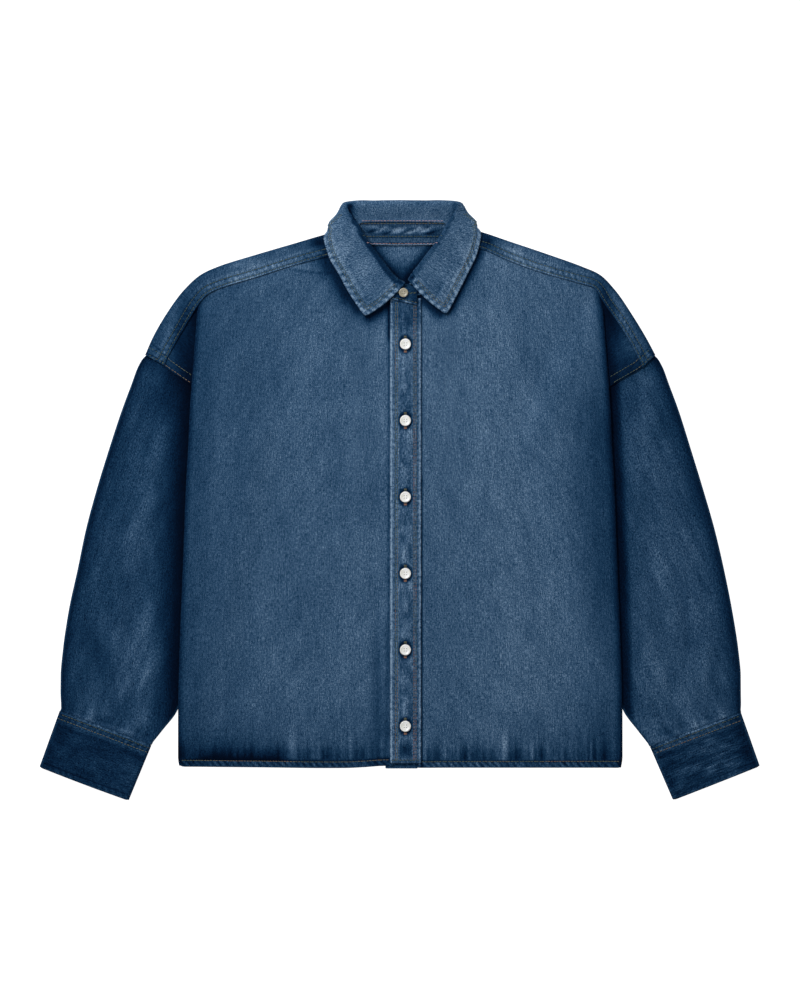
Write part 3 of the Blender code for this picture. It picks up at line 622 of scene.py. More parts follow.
def side_fold(y):
    """The folded side at one height, as in part.py, with more points."""
    depth, top, under, crease, turn, flap = (
        float(read(SIDE, name, y)) for name in ("depth", "top", "under", "crease", "turn", "flap")
    )
    count = FOLD_POINTS + UNDER_POINTS + TURN_POINTS
    if y > FOLD_STARTS:
        return 0.0, [(-UNROLLED * (step + 1) / count, crease) for step in range(count)], 0.0, flap
    radius = (top - under) / 2
    start = min(radius, depth / 2)
    points = []
    for angle in np.linspace(0, 180, FOLD_POINTS + 2)[1:-1]:
        bend = math.radians(angle)
        points.append((start * (1 - math.sin(bend)), under + radius * (1 + math.cos(bend))))
    bend = math.pi * turn
    turned = float(ease((turn - 0.5) * 2))
    heel = depth - turned * TURN_SETBACK
    knots = (0, 0.5, 0.8, 1)
    dips = (under, under, under + (crease - under) * 0.05, crease)
    for share in np.linspace(0, 1, UNDER_POINTS):
        points.append((start + (heel - start) * share, float(smooth(share, knots, dips))))
    for step in range(1, TURN_POINTS + 1):
        angle = bend * step / TURN_POINTS
        if bend > 0.01:
            radius = TURN_LENGTH / bend
            points.append((heel + radius * math.sin(angle), crease - radius * (1 - math.cos(angle))))
        else:
            points.append((heel + TURN_LENGTH * step / TURN_POINTS, crease))
    return start, points, bend, flap


def armhole_end(side, y):
    """Where the flap ends under the folded side, along the armhole."""
    share = (ARMHOLE_TOP - y) / (ARMHOLE_TOP - ARMHOLE_BOTTOM)
    path = columns_of(ARMHOLE[side], "x y")
    lengths = distances(path)
    x, y_end = smooth(share * lengths[-1], lengths, path)
    return float(x), float(y_end), float(FLAP_END + FLAP_END_RISE * ease((share - 0.05) / 0.4))


def front_height(x, y, side):
    """Height of the middle surface of a front's face, as in part.py."""
    inward = read(SIDE, "half", y) - np.abs(x)
    depth = read(SIDE, "depth", y)
    top = read(SIDE, "top", y)
    height = BODY + (top - BODY) * (1 - ease((inward - depth + 6) / PLEAT_RISE_LENGTH))
    from_edge = np.abs(x - FRONT_EDGE[side])
    if side > 0:
        height = height - (BODY - BAND) * (1 - ease(from_edge / LEFT_EDGE_LENGTH))
    clear_of_edge = ease((from_edge - 10) / 18)
    drop_share = 1 - ease((y - HEM[side]) / HEM_DROP_LENGTH)
    height = height - HEM_DROP * drop_share * clear_of_edge * ease(inward / 20)
    under_yoke = ease((np.abs(x) - 50) / 12) * (1 - ease((top_edge(side, x) - y - 6) / 12))
    return height - YOKE_TUCK_DROP * under_yoke * ease(inward / 12)


HEM_ROW = 7.0
HEM_STEPS = np.array((0, 0.35, 0.8, 1.6, 2.6, 3.6, 4.6, 5.6, 6.4, 7.0, 7.6, 8.4, 9.4, 10.6, 12))
GATHERS_AT = 15  # below the front's hidden top edge
FRONT_SEED = {-1: 11, 1: 47}

# Painted shade, and darker dye in places: distances, then the share of the tone that the cloth keeps (or
# loses) there.
# painted shade where the folded side rolls under, with darker dye near the side too
FOLD_SHADE_AND_DYE = {
    -1: ((0, 1.5, 4, 7, 14, 23, 35, 60, 90), (0.32, 0.45, 0.63, 0.77, 0.79, 0.84, 0.92, 0.97, 1.0)),
    1: ((0, 0.6, 3, 5.3, 7.5, 10), (0.2, 0.3, 0.54, 0.75, 0.9, 1.0)),
}
LEFT_FOLD_SHADE_AND_DYE = (
    (0, 7, 11.5, 16, 21, 25, 30, 39, 48, 60), (0.6, 0.6, 0.6, 0.62, 0.64, 0.7, 0.78, 0.84, 0.93, 1.0),
)
ABOVE_HEM_LOST = ((8, 13, 18, 22, 27, 36, 54, 77), (0.45, 0.4, 0.34, 0.22, 0.15, 0.09, 0.05, 0))
# x of the painted shadow lines that the placket's edges cast
PLACKET_EDGE_SHADOWS = {-1: -12.6, 1: 24.5}  # dark lines
HEM_BAND_LOST = {-1: 0.42, 1: 0.34}
# painted shadow of the collar on the fronts
PAINTED_COLLAR_SHADOW = ((0, 6, 8, 10, 12, 14.5, 17, 23, 32), (0.24, 0.3, 0.38, 0.5, 0.63, 0.75, 0.85, 0.95, 1.0))
WING_SPOTS = {-1: (0.11, -268, 170, 11, 15), 1: (0.24, 261, 177, 13, 17)}  # lighter places beside the yoke
DARKEST = 0.05

FRONT_CREASES = {
    -1: (
        (-107, 262, -4, 62, 2.2, -0.7, 3),
        (-120, 267, -4, 70, 3.0, 0.5, 2),
        (-26, -175, 90, 210, 6.5, -1.2, 3),
        (-19.5, -190, 90, 150, 2.4, 0.7, 1),
        (-150, 150, 68, 190, 16, -0.7, 10),
        (-120, 90, 74, 260, 18, 0.6, -14),
        (-190, 20, 86, 260, 14, -0.7, 8),
        (-70, 30, 80, 240, 20, -0.6, 12),
        (-160, -120, 96, 200, 15, 0.6, -10),
        (-90, -170, 84, 180, 17, -0.6, 12),
        (-215, -110, 92, 220, 9, -0.6, -4),
        (-205, 178, 60, 90, 7, -0.6, 5),
        (-60, 200, 40, 120, 10, -0.6, 8),
        (-180, -235, 60, 90, 10, 0.5, 6),
    ),
    1: (
        (62, 218, 118, 100, 9, 0.5, 6),
        (92, 230, 126, 90, 8, -0.6, -4),
        (150, 160, 112, 190, 16, -0.6, -10),
        (190, 190, 100, 110, 9, 0.5, 5),
        (110, 90, 104, 240, 18, 0.6, 12),
        (200, 40, 94, 260, 13, -0.7, -8),
        (60, 10, 98, 260, 19, -0.5, -12),
        (170, -110, 84, 220, 16, 0.6, 10),
        (90, -150, 96, 200, 17, -0.6, -10),
        (222, -120, 88, 220, 9, -0.6, 4),
        (40, -190, 91, 170, 7, -0.5, 3),
        (130, -235, 120, 90, 10, 0.5, -6),
    ),
}
BODY_PATCHES = {
    -1: (
        (-145, -60, 32, 95, -0.035), (-52, -20, 22, 190, 0.018), (-22, 135, 10, 75, 0.06),
        (-195, 50, 14, 40, 0.02), (-127, 236, 22, 14, -0.07), (-100, 262, 14, 10, -0.05),
        (-60, -200, 40, 50, 0.02),
    ),
    1: (
        (165, -120, 70, 120, 0.035), (103, 214, 18, 36, 0.05), (144, 120, 15, 50, 0.035),
        (34, 60, 10, 80, -0.03), (212, -160, 22, 80, 0.045), (40, -120, 12, 60, -0.015),
        (64, -40, 10, 60, 0.03), (216, 212, 8, 42, 0.12), (190, 190, 9, 34, -0.04),
        (125, -190, 42, 70, 0.04), (216, -275, 20, 18, -0.07), (95, -270, 26, 22, 0.05),
    ),
}
HEM_WAVE = table(
    "x drop",
    (-256, 0), (-230, -0.3), (-156, -1.0), (-87, -1.8), (-64, -1.7), (-41, -0.7), (-19, 0.9), (-8, 1.0),
)
# Painted shadow of the collar, by the distance from its edges
LEAF_OUTLINES = (  # how much tighter the shadow is there, and a line of the collar's edge
    (0.75, ((-88, 304), (-81, 281), (-76, 271))),
    (0.95, ((-76, 271), (-69.5, 258.6), (-57.8, 236.2))),
    (1.4, ((-57.8, 236.2), (-47, 221))),
    (1.7, ((-36, 211), (-14, 225), (5, 247))),
    (1.8, ((95, 305), (89.3, 284), (78, 261.5), (66.3, 239), (56, 220))),
    (1.8, ((46, 216), (30, 229), (9, 250))),
)


def front_row(side, fold_y, columns):
    """One row of a front: the face from the front edge out, the folded side, and the flap under it."""
    hem = float(hem_edge(side, 1.0))
    share = (ARMHOLE_TOP - fold_y) / (ARMHOLE_TOP - hem)
    fold_x = side * float(read(SIDE, "half", fold_y))
    start, profile, bend, flap = side_fold(fold_y)
    reach = abs(fold_x) - start - side * FRONT_EDGE[side]
    x = FRONT_EDGE[side] + side * reach * columns
    upper = top_edge(side, x)
    y = upper + (hem_edge(side, columns) - upper) * share
    z = front_height(x, y, side)
    y[-1] = fold_y
    z[-1] = float(read(SIDE, "top", fold_y))
    row = list(zip(x, y, z))
    row.extend((fold_x - side * inward, fold_y, height) for inward, height in profile)
    inward, last_z = profile[-1]
    last = np.array((fold_x - side * inward, fold_y, last_z))
    if fold_y >= ARMHOLE_BOTTOM:
        end = np.array(armhole_end(side, fold_y))
    else:
        end = last + np.array((-side * flap * math.cos(bend), 0, -flap * math.sin(bend)))
    for step in range(1, FLAP_POINTS + 1):
        part = step / FLAP_POINTS
        x_y = last[:2] + (end[:2] - last[:2]) * part
        row.append((*x_y, last[2] + (end[2] - last[2]) * float(ease(part))))
    return np.array(row)


class Face:
    """The looks of a front's face, from its points' places."""

    def __init__(self, side, x, y):
        self.side = side
        self.seed = FRONT_SEED[side]
        self.x = x
        self.y = y
        self.above = y - float(hem_edge(side, 1.0))
        self.inward = read(SIDE, "half", y) - np.abs(x)
        self.seam = top_edge(side, x) - y
        streak = noise1(x / 3.6, self.seed) + 0.8 * noise1(x / 1.8 + self.above / 60, self.seed + 1)
        tall = 32 + 18 * noise1(x / 11, self.seed + 2)
        self.streaks = streak * ease((self.above - HEM_ROW) / 3) * (1 - ease((self.above - 9) / tall))
        self.rolls = puckers(x, self.above, self.seed + 3, length=7.5, reach=(0.4, HEM_ROW - 1.5), slant=0.9)
        self.relief = self.make_relief()

    def make_relief(self):
        """Creases, streaks above the hem, the hem's rolls and groove, gathers under the yoke seam."""
        x, above, inward = self.x, self.above, self.inward
        relief = 0.6 * creases(FRONT_CREASES[self.side], x, self.y)
        relief *= ease(inward / 14) * ease(above / 30) * ease((np.abs(x - FRONT_EDGE[self.side]) - 3) / 10)
        relief += 0.34 * self.streaks * ease(inward / 6)
        relief += 0.28 * self.rolls + groove(above, HEM_ROW, 0.35, 0.9)
        from_gathers = np.abs(self.seam - GATHERS_AT)
        gathers = puckers(x, from_gathers, self.seed + 5, length=10, reach=(0, 8), slant=0.2)
        return relief + 0.2 * gathers * ease((np.abs(x) - 60) / 20)

    def tone(self):
        x, y, seam, seed = self.x, self.y, self.seam, self.seed
        body = self.ground()
        # painted light and shade of the creases, streaks, rolls and gathers, following their height
        body *= 1 + 0.12 * self.relief
        body += patches(BODY_PATCHES[self.side], x, y)
        body = self.hem_tone(body)
        body *= 1 + 0.035 * noise2(x / 30, y / 60, seed + 9) + 0.05 * noise2(x / 9, y / 26, seed + 10)
        slanted = noise2((x + self.side * 0.8 * y) / 5.5, (self.side * 0.8 * x - y) / 42, seed + 13)
        body *= 1 + 0.05 * slanted
        if self.side < 0:
            body = self.right_marks(body)
        # painted shadow of the collar
        body *= collar_shadow(x, y)
        # painted shadow under the yoke's edge, where the front goes under it
        under = np.where(seam < 24, bell(seam, 10.2, 1.1), 0) * ease((np.abs(x) - 58) / 10)
        body *= 1 - 0.14 * np.clip(under, 0, 1)
        body *= 1 + 0.05 * (1 - ease((seam - 12) / 24))
        # painted shadows of the placket's edges: thin lines, wider low on the right front, and black in the
        # gap near the top
        body *= 1 - np.where(y > 30, 0.55, 0.85) * bell(x, PLACKET_EDGE_SHADOWS[self.side], 0.85)
        body *= 1 - 0.26 * bell(x, -15.6, 2.6) * ease((-110 - y) / 60)
        body *= 1 - 0.75 * bell(x, -13.0, 2.3) * ease((y - 176) / 14)
        return np.maximum(body, DARKEST)

    def ground(self):
        """The plain tone, darker beside the folded side: painted shade where the side rolls under, with
        darker dye there too.
        """
        y, inward = self.y, self.inward
        if self.side < 0:
            body = 0.505 + 0.045 * ease((inward - 30) / 120)
        else:
            body = 0.55 + 0.035 * ease((inward - 40) / 90) - 0.025 * ease((40 - y) / 160)
            fade = smooth(inward, *LEFT_FOLD_SHADE_AND_DYE)
            away = ease((y - 80) / 90) + 0.7 * ease((-90 - y) / 110)
            body *= 1 - (1 - fade) * (1 - 0.75 * away)
        return body * smooth(inward, *FOLD_SHADE_AND_DYE[self.side])

    def hem_tone(self, body):
        """The dark band above the hem, its streaks, and the hem's own edge; its rolls lighter on their worn
        ridges and darker in their dips as painted shade, and painted shade in its stitch groove.
        """
        x, above = self.x, self.above
        lost = smooth(above, *ABOVE_HEM_LOST)
        if self.side < 0:
            extra = 0.42 * ease((np.abs(x) - 118) / 30) * (1 - ease((np.abs(x) - 222) / 25))
            lost += extra * np.exp(-np.maximum(above - 9.5, 0) / 17)
        body *= 1 - np.clip(lost, 0, 0.85) * (above > HEM_ROW - 1)
        body *= 1 + 0.45 * self.streaks
        # the rolls: wear on their ridges, painted shade in their dips
        body *= 1 + 0.62 * self.rolls
        body *= 1 - HEM_BAND_LOST[self.side] * (1 - ease((above - HEM_ROW + 1) / 1.5))
        body += 0.12 * bell(above, 0.7, 0.6) * (0.6 + 0.5 * noise1(x / 7, self.seed + 6))
        # painted shade in the hem's stitch groove
        return body * (1 - 0.35 * bell(above, HEM_ROW, 1.0))

    def right_marks(self, body):
        """The right front's painted shade in a trough and a bright line beside the placket, and the painted
        shade and highlight of its small fold below the yoke.
        """
        x, y = self.x, self.y
        # painted shade in a trough beside the placket
        body *= 1 - 0.32 * bell(x, -26, 8.5) * ease((-120 - y) / 160)
        body += 0.24 * bell(x, -14.5, 0.9) * ease((-190 - y) / 40) * (self.above > 10)
        # painted shade along the small fold below the yoke, and a painted highlight just above it
        fold_line = y - (265.8 - 0.095 * (x + 126.8) - 1.5 * np.sin((x + 126) / 15))
        reach = ease((x + 134) / 10) * ease((-70 - x) / 10)
        body *= 1 - 0.36 * reach * bell(fold_line, 0, 1.1)
        return body * (1 + 0.12 * reach * bell(fold_line, 3.2, 2.0))


def front(side):
    """One front, with its folded side and the flap under the fold."""
    hem = float(hem_edge(side, 1.0))
    levels = merged(hem + HEM_STEPS, spaced(hem + 14, ARMHOLE_TOP, 2.7))[::-1]
    columns = spaced(0, 1, 0.0105)
    points = np.array([front_row(side, level, columns) for level in levels])
    from_edge = np.array([distances(row[:, :2]) for row in points])
    count = len(columns)
    x = points[:, :count, 0]
    face = Face(side, x, points[:, :count, 1])
    points[:, :count, 2] += face.relief - 0.5 * (1 - ease(face.above / 1.0))

    tone = np.full(points.shape[:2], FLAP_TONE)
    tone[:, :count] = face.tone()
    # painted shade where the folded side rolls under
    tone[:, count:count + FOLD_POINTS] = tone[:, count - 1:count] * np.linspace(1, 0.45, FOLD_POINTS)
    # the flap is dark, darkest next to the folded side as painted shade of the fold; WING_SPOTS are lighter
    # places
    flap_x, flap_y = points[:, -FLAP_POINTS:, 0], points[:, -FLAP_POINTS:, 1]
    much, *place = WING_SPOTS[side]
    wing = 0.09 + 0.1 * ease((np.abs(flap_x) - read(SIDE, "half", flap_y)) / 22)
    wing += much * spot(flap_x, flap_y, *place)
    fan = noise1((flap_x - side * 235) / 9 + (flap_y - 230) / 26, face.seed + 12)
    tone[:, -FLAP_POINTS:] = np.maximum(wing * (1 + 0.3 * fan), DARKEST)

    grain = (side * from_edge, points[..., 1].copy(), face.seed * 31.0)
    if side < 0:
        points[:, :count, 1] += hem_wave(x) * (1 - ease(face.above / 60))
    made = cloth(
        f"front_{WEARER[side]}", points, THIN, DENIM, grain, tone, even=False, flip=side < 0
    )
    return made


def hem_wave(x):
    """How far the right front's hem hangs above or below a straight one."""
    return read(HEM_WAVE, "drop", x, key="x")


def collar_shadow(x, y):
    """How much of its tone the cloth keeps in the collar's painted shadow."""
    nearest = np.full(np.broadcast(x, y).shape, 99.0)
    for squeeze, path in LEAF_OUTLINES:
        for (ax, ay), (bx, by) in zip(path[:-1], path[1:]):
            length = (bx - ax) ** 2 + (by - ay) ** 2
            t = np.clip(((x - ax) * (bx - ax) + (y - ay) * (by - ay)) / length, 0, 1)
            away = np.hypot(x - ax - t * (bx - ax), y - ay - t * (by - ay))
            nearest = np.minimum(nearest, away * squeeze)
    return smooth(nearest, *PAINTED_COLLAR_SHADOW)


# ---------- Placket, band, back ----------

PLACKET_ROWS = (5.35, 7.7)  # stitch rows, in from each long edge
PLACKET_END_ROW = 2.8
PLACKET_EDGES = (-10.9, 23.4)  # where the long edges show, rolled in a little
PLACKET_SIDE_STEPS = np.array((0, 0.25, 0.6, 1.1, 1.8, 2.8, 3.8, 4.7, 5.3, 5.7, 6.2, 6.9, 7.6, 8.1, 8.6, 9.4))
PLACKET_END_STEPS = np.array((0, 0.3, 0.8, 1.6, 2.4, 3.0, 3.5, 4.2, 5.0, 6.5))
# Tone across the placket, in from each long edge: lighter ridges, and painted shade in the stitch grooves
PLACKET_TONE_LEFT = (
    (0, 2, 3.1, 4.2, 5.35, 6.5, 7.7, 8.8, 10, 11.5, 13.5, 16),
    (0.6, 0.64, 0.6, 0.58, 0.44, 0.64, 0.52, 0.66, 0.5, 0.49, 0.57, 0.575),
)
PLACKET_TONE_RIGHT = ((0, 2, 3.4, 5.35, 6.5, 7.7, 9, 16), (0.6, 0.6, 0.48, 0.5, 0.57, 0.46, 0.55, 0.55))
PLACKET_PATCHES = ((3.3, -216, 1.5, 16, 0.13),)
BAND_END_STEPS = np.array((0, 0.3, 0.8, 1.6, 2.6, 4, 5.4, 6, 6.6))
BAND_ROW = 6.0


def edge_curl(distance, drop_by, reach=0.9):
    """How much a folded edge rolls down, from its distance in."""
    return -drop_by * (1 - np.sqrt(np.clip(1 - (1 - np.clip(distance / reach, 0, 1)) ** 2, 0, 1)))


def button_pulls(x, y):
    """Distance to the nearest buttonhole, and the pair of creases that hangs from each button."""
    hole = np.full(x.shape, 99.0)
    vee = np.zeros(x.shape)
    for index in range(FRONT_BUTTONS):
        below = BUTTON_TOP - index * BUTTON_PITCH - y
        hole = np.minimum(hole, np.hypot((x - BUTTON_X) / 1.0, below / 1.35))
        spread = np.abs(np.abs(x - BUTTON_X) - 0.42 * below)
        vee += bell(spread, 0, 1.5) * ease((below - 8) / 5) * (1 - ease((below - 19) / 10))
    return hole, vee


def placket():
    """The buttonhole strip, with its stitch grooves, ripples and pulls at the buttons."""
    left, right = PLACKET_EDGES
    high, low = PLACKET_ENDS
    middle = (left + right) / 2
    x = merged(left + PLACKET_SIDE_STEPS, right - PLACKET_SIDE_STEPS, spaced(left + 11, right - 11, 1.4))
    y = merged(low + PLACKET_END_STEPS, high - PLACKET_END_STEPS, spaced(low + 8, high - 8, 2.2))[::-1]
    x, y = np.meshgrid(x, y)
    from_side = np.minimum(x - left, right - x)
    above = y - low
    on_left = x < middle
    hole, vee = button_pulls(x, y)
    rolls = puckers(y, from_side, np.where(on_left, 3, 17), length=7.2, reach=(0.6, 4.6), slant=0.5)
    inner = ease((from_side - 9) / 3)
    ripple = noise2(x / 6, y / 11, 71) + 0.7 * noise2(x / 3.2 + y / 30, y / 7, 72)

    relief = grooves(from_side, PLACKET_ROWS, 0.3, 0.8) + groove(above, PLACKET_END_ROW, 0.3, 0.7)
    relief += 0.2 * rolls + inner * (0.34 * ripple + 0.3 * bell(x, middle, 10))
    relief += edge_curl(from_side, 0.7) + edge_curl(above, 0.6)
    relief += 0.3 * vee - 0.5 * (1 - ease((hole - 3) / 6))

    tone = np.where(on_left, smooth(from_side, *PLACKET_TONE_LEFT), smooth(from_side, *PLACKET_TONE_RIGHT))
    tone *= 1 - 0.06 * ease(-y / 250)
    # painted light and shade of the rolls, ripples and button pulls, with wear on the ridges
    tone *= 1 + 0.22 * rolls + 0.24 * inner * ripple + 0.26 * vee
    ridge = np.where(on_left, 0.55 * bell(from_side, 0.9, 0.6), 0.3 * bell(from_side, 1.0, 0.8))
    tone += ridge * (0.8 + 0.3 * noise1(y / 9, 12))
    # painted shadow ring round each button, and painted shade under it
    tone *= 1 - 0.68 * bell(hole, 6.9, 1.4)
    tone *= 1 - 0.5 * (hole < 6.5)
    # painted shadow of the collar at the placket's top
    tone *= 1 - 0.28 * ease((y - 190) / 22)
    tone += patches(PLACKET_PATCHES, x, y)
    tone *= 1 - 0.25 * (1 - ease((above - 2.6) / 1.0))
    tone *= 1 - 0.5 * inner * bell(above, 14, 9)
    tone += 0.12 * bell(above, 0.9, 0.7)
    points = np.stack([x, y, PLACKET + relief], axis=-1)
    made = cloth("placket", points, DOUBLE, DENIM_TRIM, (x, y, 900), tone, flip=True)
    return made


def button_band():
    """The strip under the placket. It shows beside the placket and below its end."""
    left, right = BAND_SIDES
    high, low = BAND_ENDS
    edges = np.array((0, 0.3, 0.8, 1.6))
    x = merged(left + edges, right - edges, spaced(left + 3, right - 3, 2.5))
    y = merged(low + BAND_END_STEPS, spaced(low + 9, high, 5))[::-1]
    x, y = np.meshgrid(x, y)
    above = y - low
    from_side = np.minimum(x - left, right - x)
    rolls = puckers(x, above, 81, length=8, reach=(0.4, 4.5), slant=0.6)
    relief = 0.1 * rolls + edge_curl(above, 0.4) + edge_curl(from_side, 0.4)
    relief += groove(above, BAND_ROW, 0.2, 0.8)
    # painted light and shade of the rolls, with wear on their ridges
    tone = BAND_TONE * (1 + 0.25 * rolls) + 0.1 * bell(above, 0.8, 0.7)
    points = np.stack([x, y, BAND + relief], axis=-1)
    made = cloth("button_band", points, STRIP, DENIM_TRIM, (x + 70, y, 950), tone, flip=True)
    return made


def back():
    """The back panel, flat on the table. The ripples of its seams are in its tone alone, as painted light and
    shade with wear on their ridges.
    """
    front_half = YOKE["back_x"] >= 0
    shape_x = YOKE["back_x"][front_half]
    shape_y = YOKE["back_y"][front_half]
    share = spaced(-1, 1, 0.0125)
    bow = (shape_y[0] - smooth(np.abs(share) * shape_x[-1], shape_x, shape_y)) / (shape_y[0] - shape_y[-1])
    rows = []
    for t in spaced(0, 1, 0.012) ** 1.1:
        half = float(read(BACK_SIDE, "half", t, key="t"))
        side_y = float(read(BACK_SIDE, "y", t, key="t")) - SEAM_GAP
        middle_y = BACK_MIDDLE_TOP - SEAM_GAP + (BACK_HEM - BACK_MIDDLE_TOP) * t
        y = middle_y + (side_y - middle_y) * bow
        rows.append(np.column_stack([share * half, y, np.full(share.shape, TABLE_PLY)]))
    points = np.array(rows)
    x, y = points[..., 0], points[..., 1]
    above = y - BACK_HEM
    below = points[0][None, :, 1] - y
    tone = BACK_TONE * (1 + 0.06 * noise2(x / 30, y / 60, 91))
    tone *= 1 - 0.3 * (1 - ease((above - 8) / 26))
    tone *= 1 + 0.25 * puckers(x, above, 92, reach=(0, 6))
    tone *= 1 + 0.25 * puckers(x, below, 93, length=8, reach=(0, 10))
    # painted shade where the back goes under the yoke
    tone *= 1 - 0.2 * (1 - ease(below / 12))
    made = cloth("back", points, BACK_DRAWN, DENIM, (x, y, 700), tone, flip=True)
    return made


# ---------- Yoke ----------

YOKE_ROWS = (2.4, 8.7)
YOKE_END_ROWS = (1.9, 9.6)
YOKE_STEPS = np.array(
    (0, 0.3, 0.8, 1.3, 1.8, 2.4, 3.0, 3.8, 4.8, 6.0, 7.0, 7.8, 8.3, 8.7, 9.2, 10.2, 11.4, 12.8, 14.4)
)
YOKE_END_STEPS = np.array((0, 0.4, 0.9, 1.4, 1.9, 2.4, 3.2, 4.4, 6, 7.5, 8.6, 9.2, 9.6, 10.1, 10.8, 12))
YOKE_FACE = len(YOKE_STEPS) + 8  # points of a section between the front seam and the shoulder fold
# Tone across from the front seam: a lighter edge and ridges, painted shade in the stitch grooves
YOKE_ACROSS = (
    (0, 1.1, 2.4, 3.2, 5.8, 7.2, 8.7, 10.2, 12.4, 15, 18),
    (0.68, 1.16, 0.82, 0.86, 1.15, 1.05, 0.8, 1.0, 1.18, 1.0, 0.97),
)


def yoke_section(section):
    """Points of one section, from the front seam over the shoulder fold to the back seam."""
    fold, seam, foot, height = section[0:2], section[2:4], section[4:6], section[6]
    radius = (height - TABLE_PLY) / 2
    outward = unit(fold - seam)
    inside = fold - outward * (radius + PLY / 2)
    reach = np.minimum(YOKE_STEPS / np.linalg.norm(inside - seam), 0.97)
    reach = np.concatenate([reach, reach[-1] + (1 - reach[-1]) * np.linspace(0.12, 1, 8)])
    row = [(*(seam + (inside - seam) * share), height) for share in reach]
    for bend in np.radians(np.linspace(0, 180, 11)[1:-1]):
        row.append((*(inside + outward * radius * math.sin(bend)), TABLE_PLY + radius * (1 + math.cos(bend))))
    row.extend((*(inside + (foot - inside) * share), TABLE_PLY) for share in np.linspace(0, 1, 24))
    return np.array(row)


# painted shadow of the collar's corners on the yoke
YOKE_COLLAR_SHADOWS = ((-95, 296, 9, 7), (101, 297, 7, 8))  # beside the collar
# painted shade where the yoke slopes down beside its seam
YOKE_SLOPE_SHADES = ((0.5, -252, 15), (0.42, 237, 10))  # share of the tone lost near the ends, x, width
YOKE_TONES = table(
    "x tone",
    (-297, 0.22), (-290, 0.34), (-284, 0.41), (-276, 0.42), (-270, 0.45), (-262, 0.42), (-253, 0.36),
    (-242, 0.33), (-230, 0.35), (-213, 0.42), (-190, 0.55), (-161, 0.54), (-133, 0.5), (-112, 0.44),
    (-60, 0.44), (60, 0.45), (103, 0.42), (120, 0.5), (143, 0.61), (166, 0.6), (189, 0.5), (212, 0.44),
    (226, 0.36), (235, 0.34), (243, 0.38), (253, 0.45), (262, 0.44), (271, 0.37), (284, 0.35),
    (290, 0.29), (297, 0.2),
)


def yoke():
    """The yoke, one piece that is folded over the shoulders, with the neck cut out."""
    sections = columns_of(YOKE, "fold_x fold_y seam_x seam_y back_x back_y height")
    stations = np.arange(len(sections))
    fine = np.linspace(0, stations[-1], 801)
    lengths = distances(smooth(fine, stations, sections)[:, 2:4])
    whole = lengths[-1]
    places = merged(YOKE_END_STEPS, whole - YOKE_END_STEPS, spaced(14, whole - 14, 2.6))
    at = np.interp(places, lengths, fine)
    points = np.array([yoke_section(section) for section in smooth(at, stations, sections)])
    across = row_distances(points)
    along = np.broadcast_to(places[:, None], across.shape)
    from_end = np.minimum(along, whole - along)
    column = np.arange(points.shape[1])[None, :]
    top = column < YOKE_FACE + 3

    rolls = puckers(along, across, 101, length=7.4, reach=(1.5, 8.5), slant=0.8)
    end_rolls = puckers(across, from_end, 103, length=7.0, reach=(1.5, 9.0), slant=0.5)
    relief = grooves(across, YOKE_ROWS, 0.32, 0.8) + grooves(from_end, YOKE_END_ROWS, 0.3, 0.8)
    relief += 0.24 * rolls + 0.22 * bell(across, 5.0, 2.2) + 0.22 * end_rolls
    relief += 0.3 * noise2(along / 16, across / 9, 105) * ease((across - 10) / 4)
    points[..., 2] += np.where(top, relief, 0.0) + edge_curl(across, 0.55)

    x, y, z = points[..., 0], points[..., 1], points[..., 2]
    tone = read(YOKE_TONES, "tone", x, key="x")
    for place in YOKE_COLLAR_SHADOWS:
        tone *= 1 - 0.7 * spot(x, y, *place)
    tone *= np.where(top, smooth(across, *YOKE_ACROSS), 1)
    # painted light and shade of the rolls, with wear on their ridges
    tone *= 1 + 0.3 * (rolls + end_rolls) * top
    # painted shade in the end stitch grooves
    for row in YOKE_END_ROWS:
        tone *= 1 - 0.34 * bell(from_end, row, 0.9) * top
    tone *= 1 + 0.14 * noise2(along / 17, across / 7, 109) + 0.1 * noise2(along / 50, across / 40, 110)
    slope = sum(lost * bell(x, at, width) for lost, at, width in YOKE_SLOPE_SHADES)
    tone *= 1 - slope * (1 - ease((across - 7) / 12)) * top
    # painted shade under the collar
    from_middle = np.abs(x - COLLAR_MIDDLE)
    tone *= 1 - 0.62 * (1 - ease((from_middle - 86) / 16)) * top
    # painted shade over the shoulder fold and beyond it
    tone *= 1 - 0.25 * ease((column - YOKE_FACE + 3) / 5)
    tone = np.where((z < 2.5) & (from_middle < NECK_SIDE), neck_tone(x, y), tone)

    made = cloth("yoke", points, THIN, DENIM, (along, across, 500), tone)
    open_neck(made.data)
    return made


def neck_tone(x, y):
    """The tone of the yoke's inside in the neck: painted shade beside the collar and deeper in the V towards
    the button, and a painted shadow line under the stand's foot.
    """
    vee_half = np.maximum((y - 249) * 0.78, 0) + 0.5
    vee_in = vee_half - np.abs(x - COLLAR_MIDDLE + 1)
    tone = NECK_TONE * (1 + 0.1 * noise2(x / 17, y / 17, 113))
    tone *= 0.3 + 0.7 * ease(vee_in / 13)
    tone *= 0.5 + 0.5 * ease((y - 258) / 26)
    tone *= 1 - 0.35 * bell(y, 292.5, 2.0)
    return np.maximum(tone, 0.04)


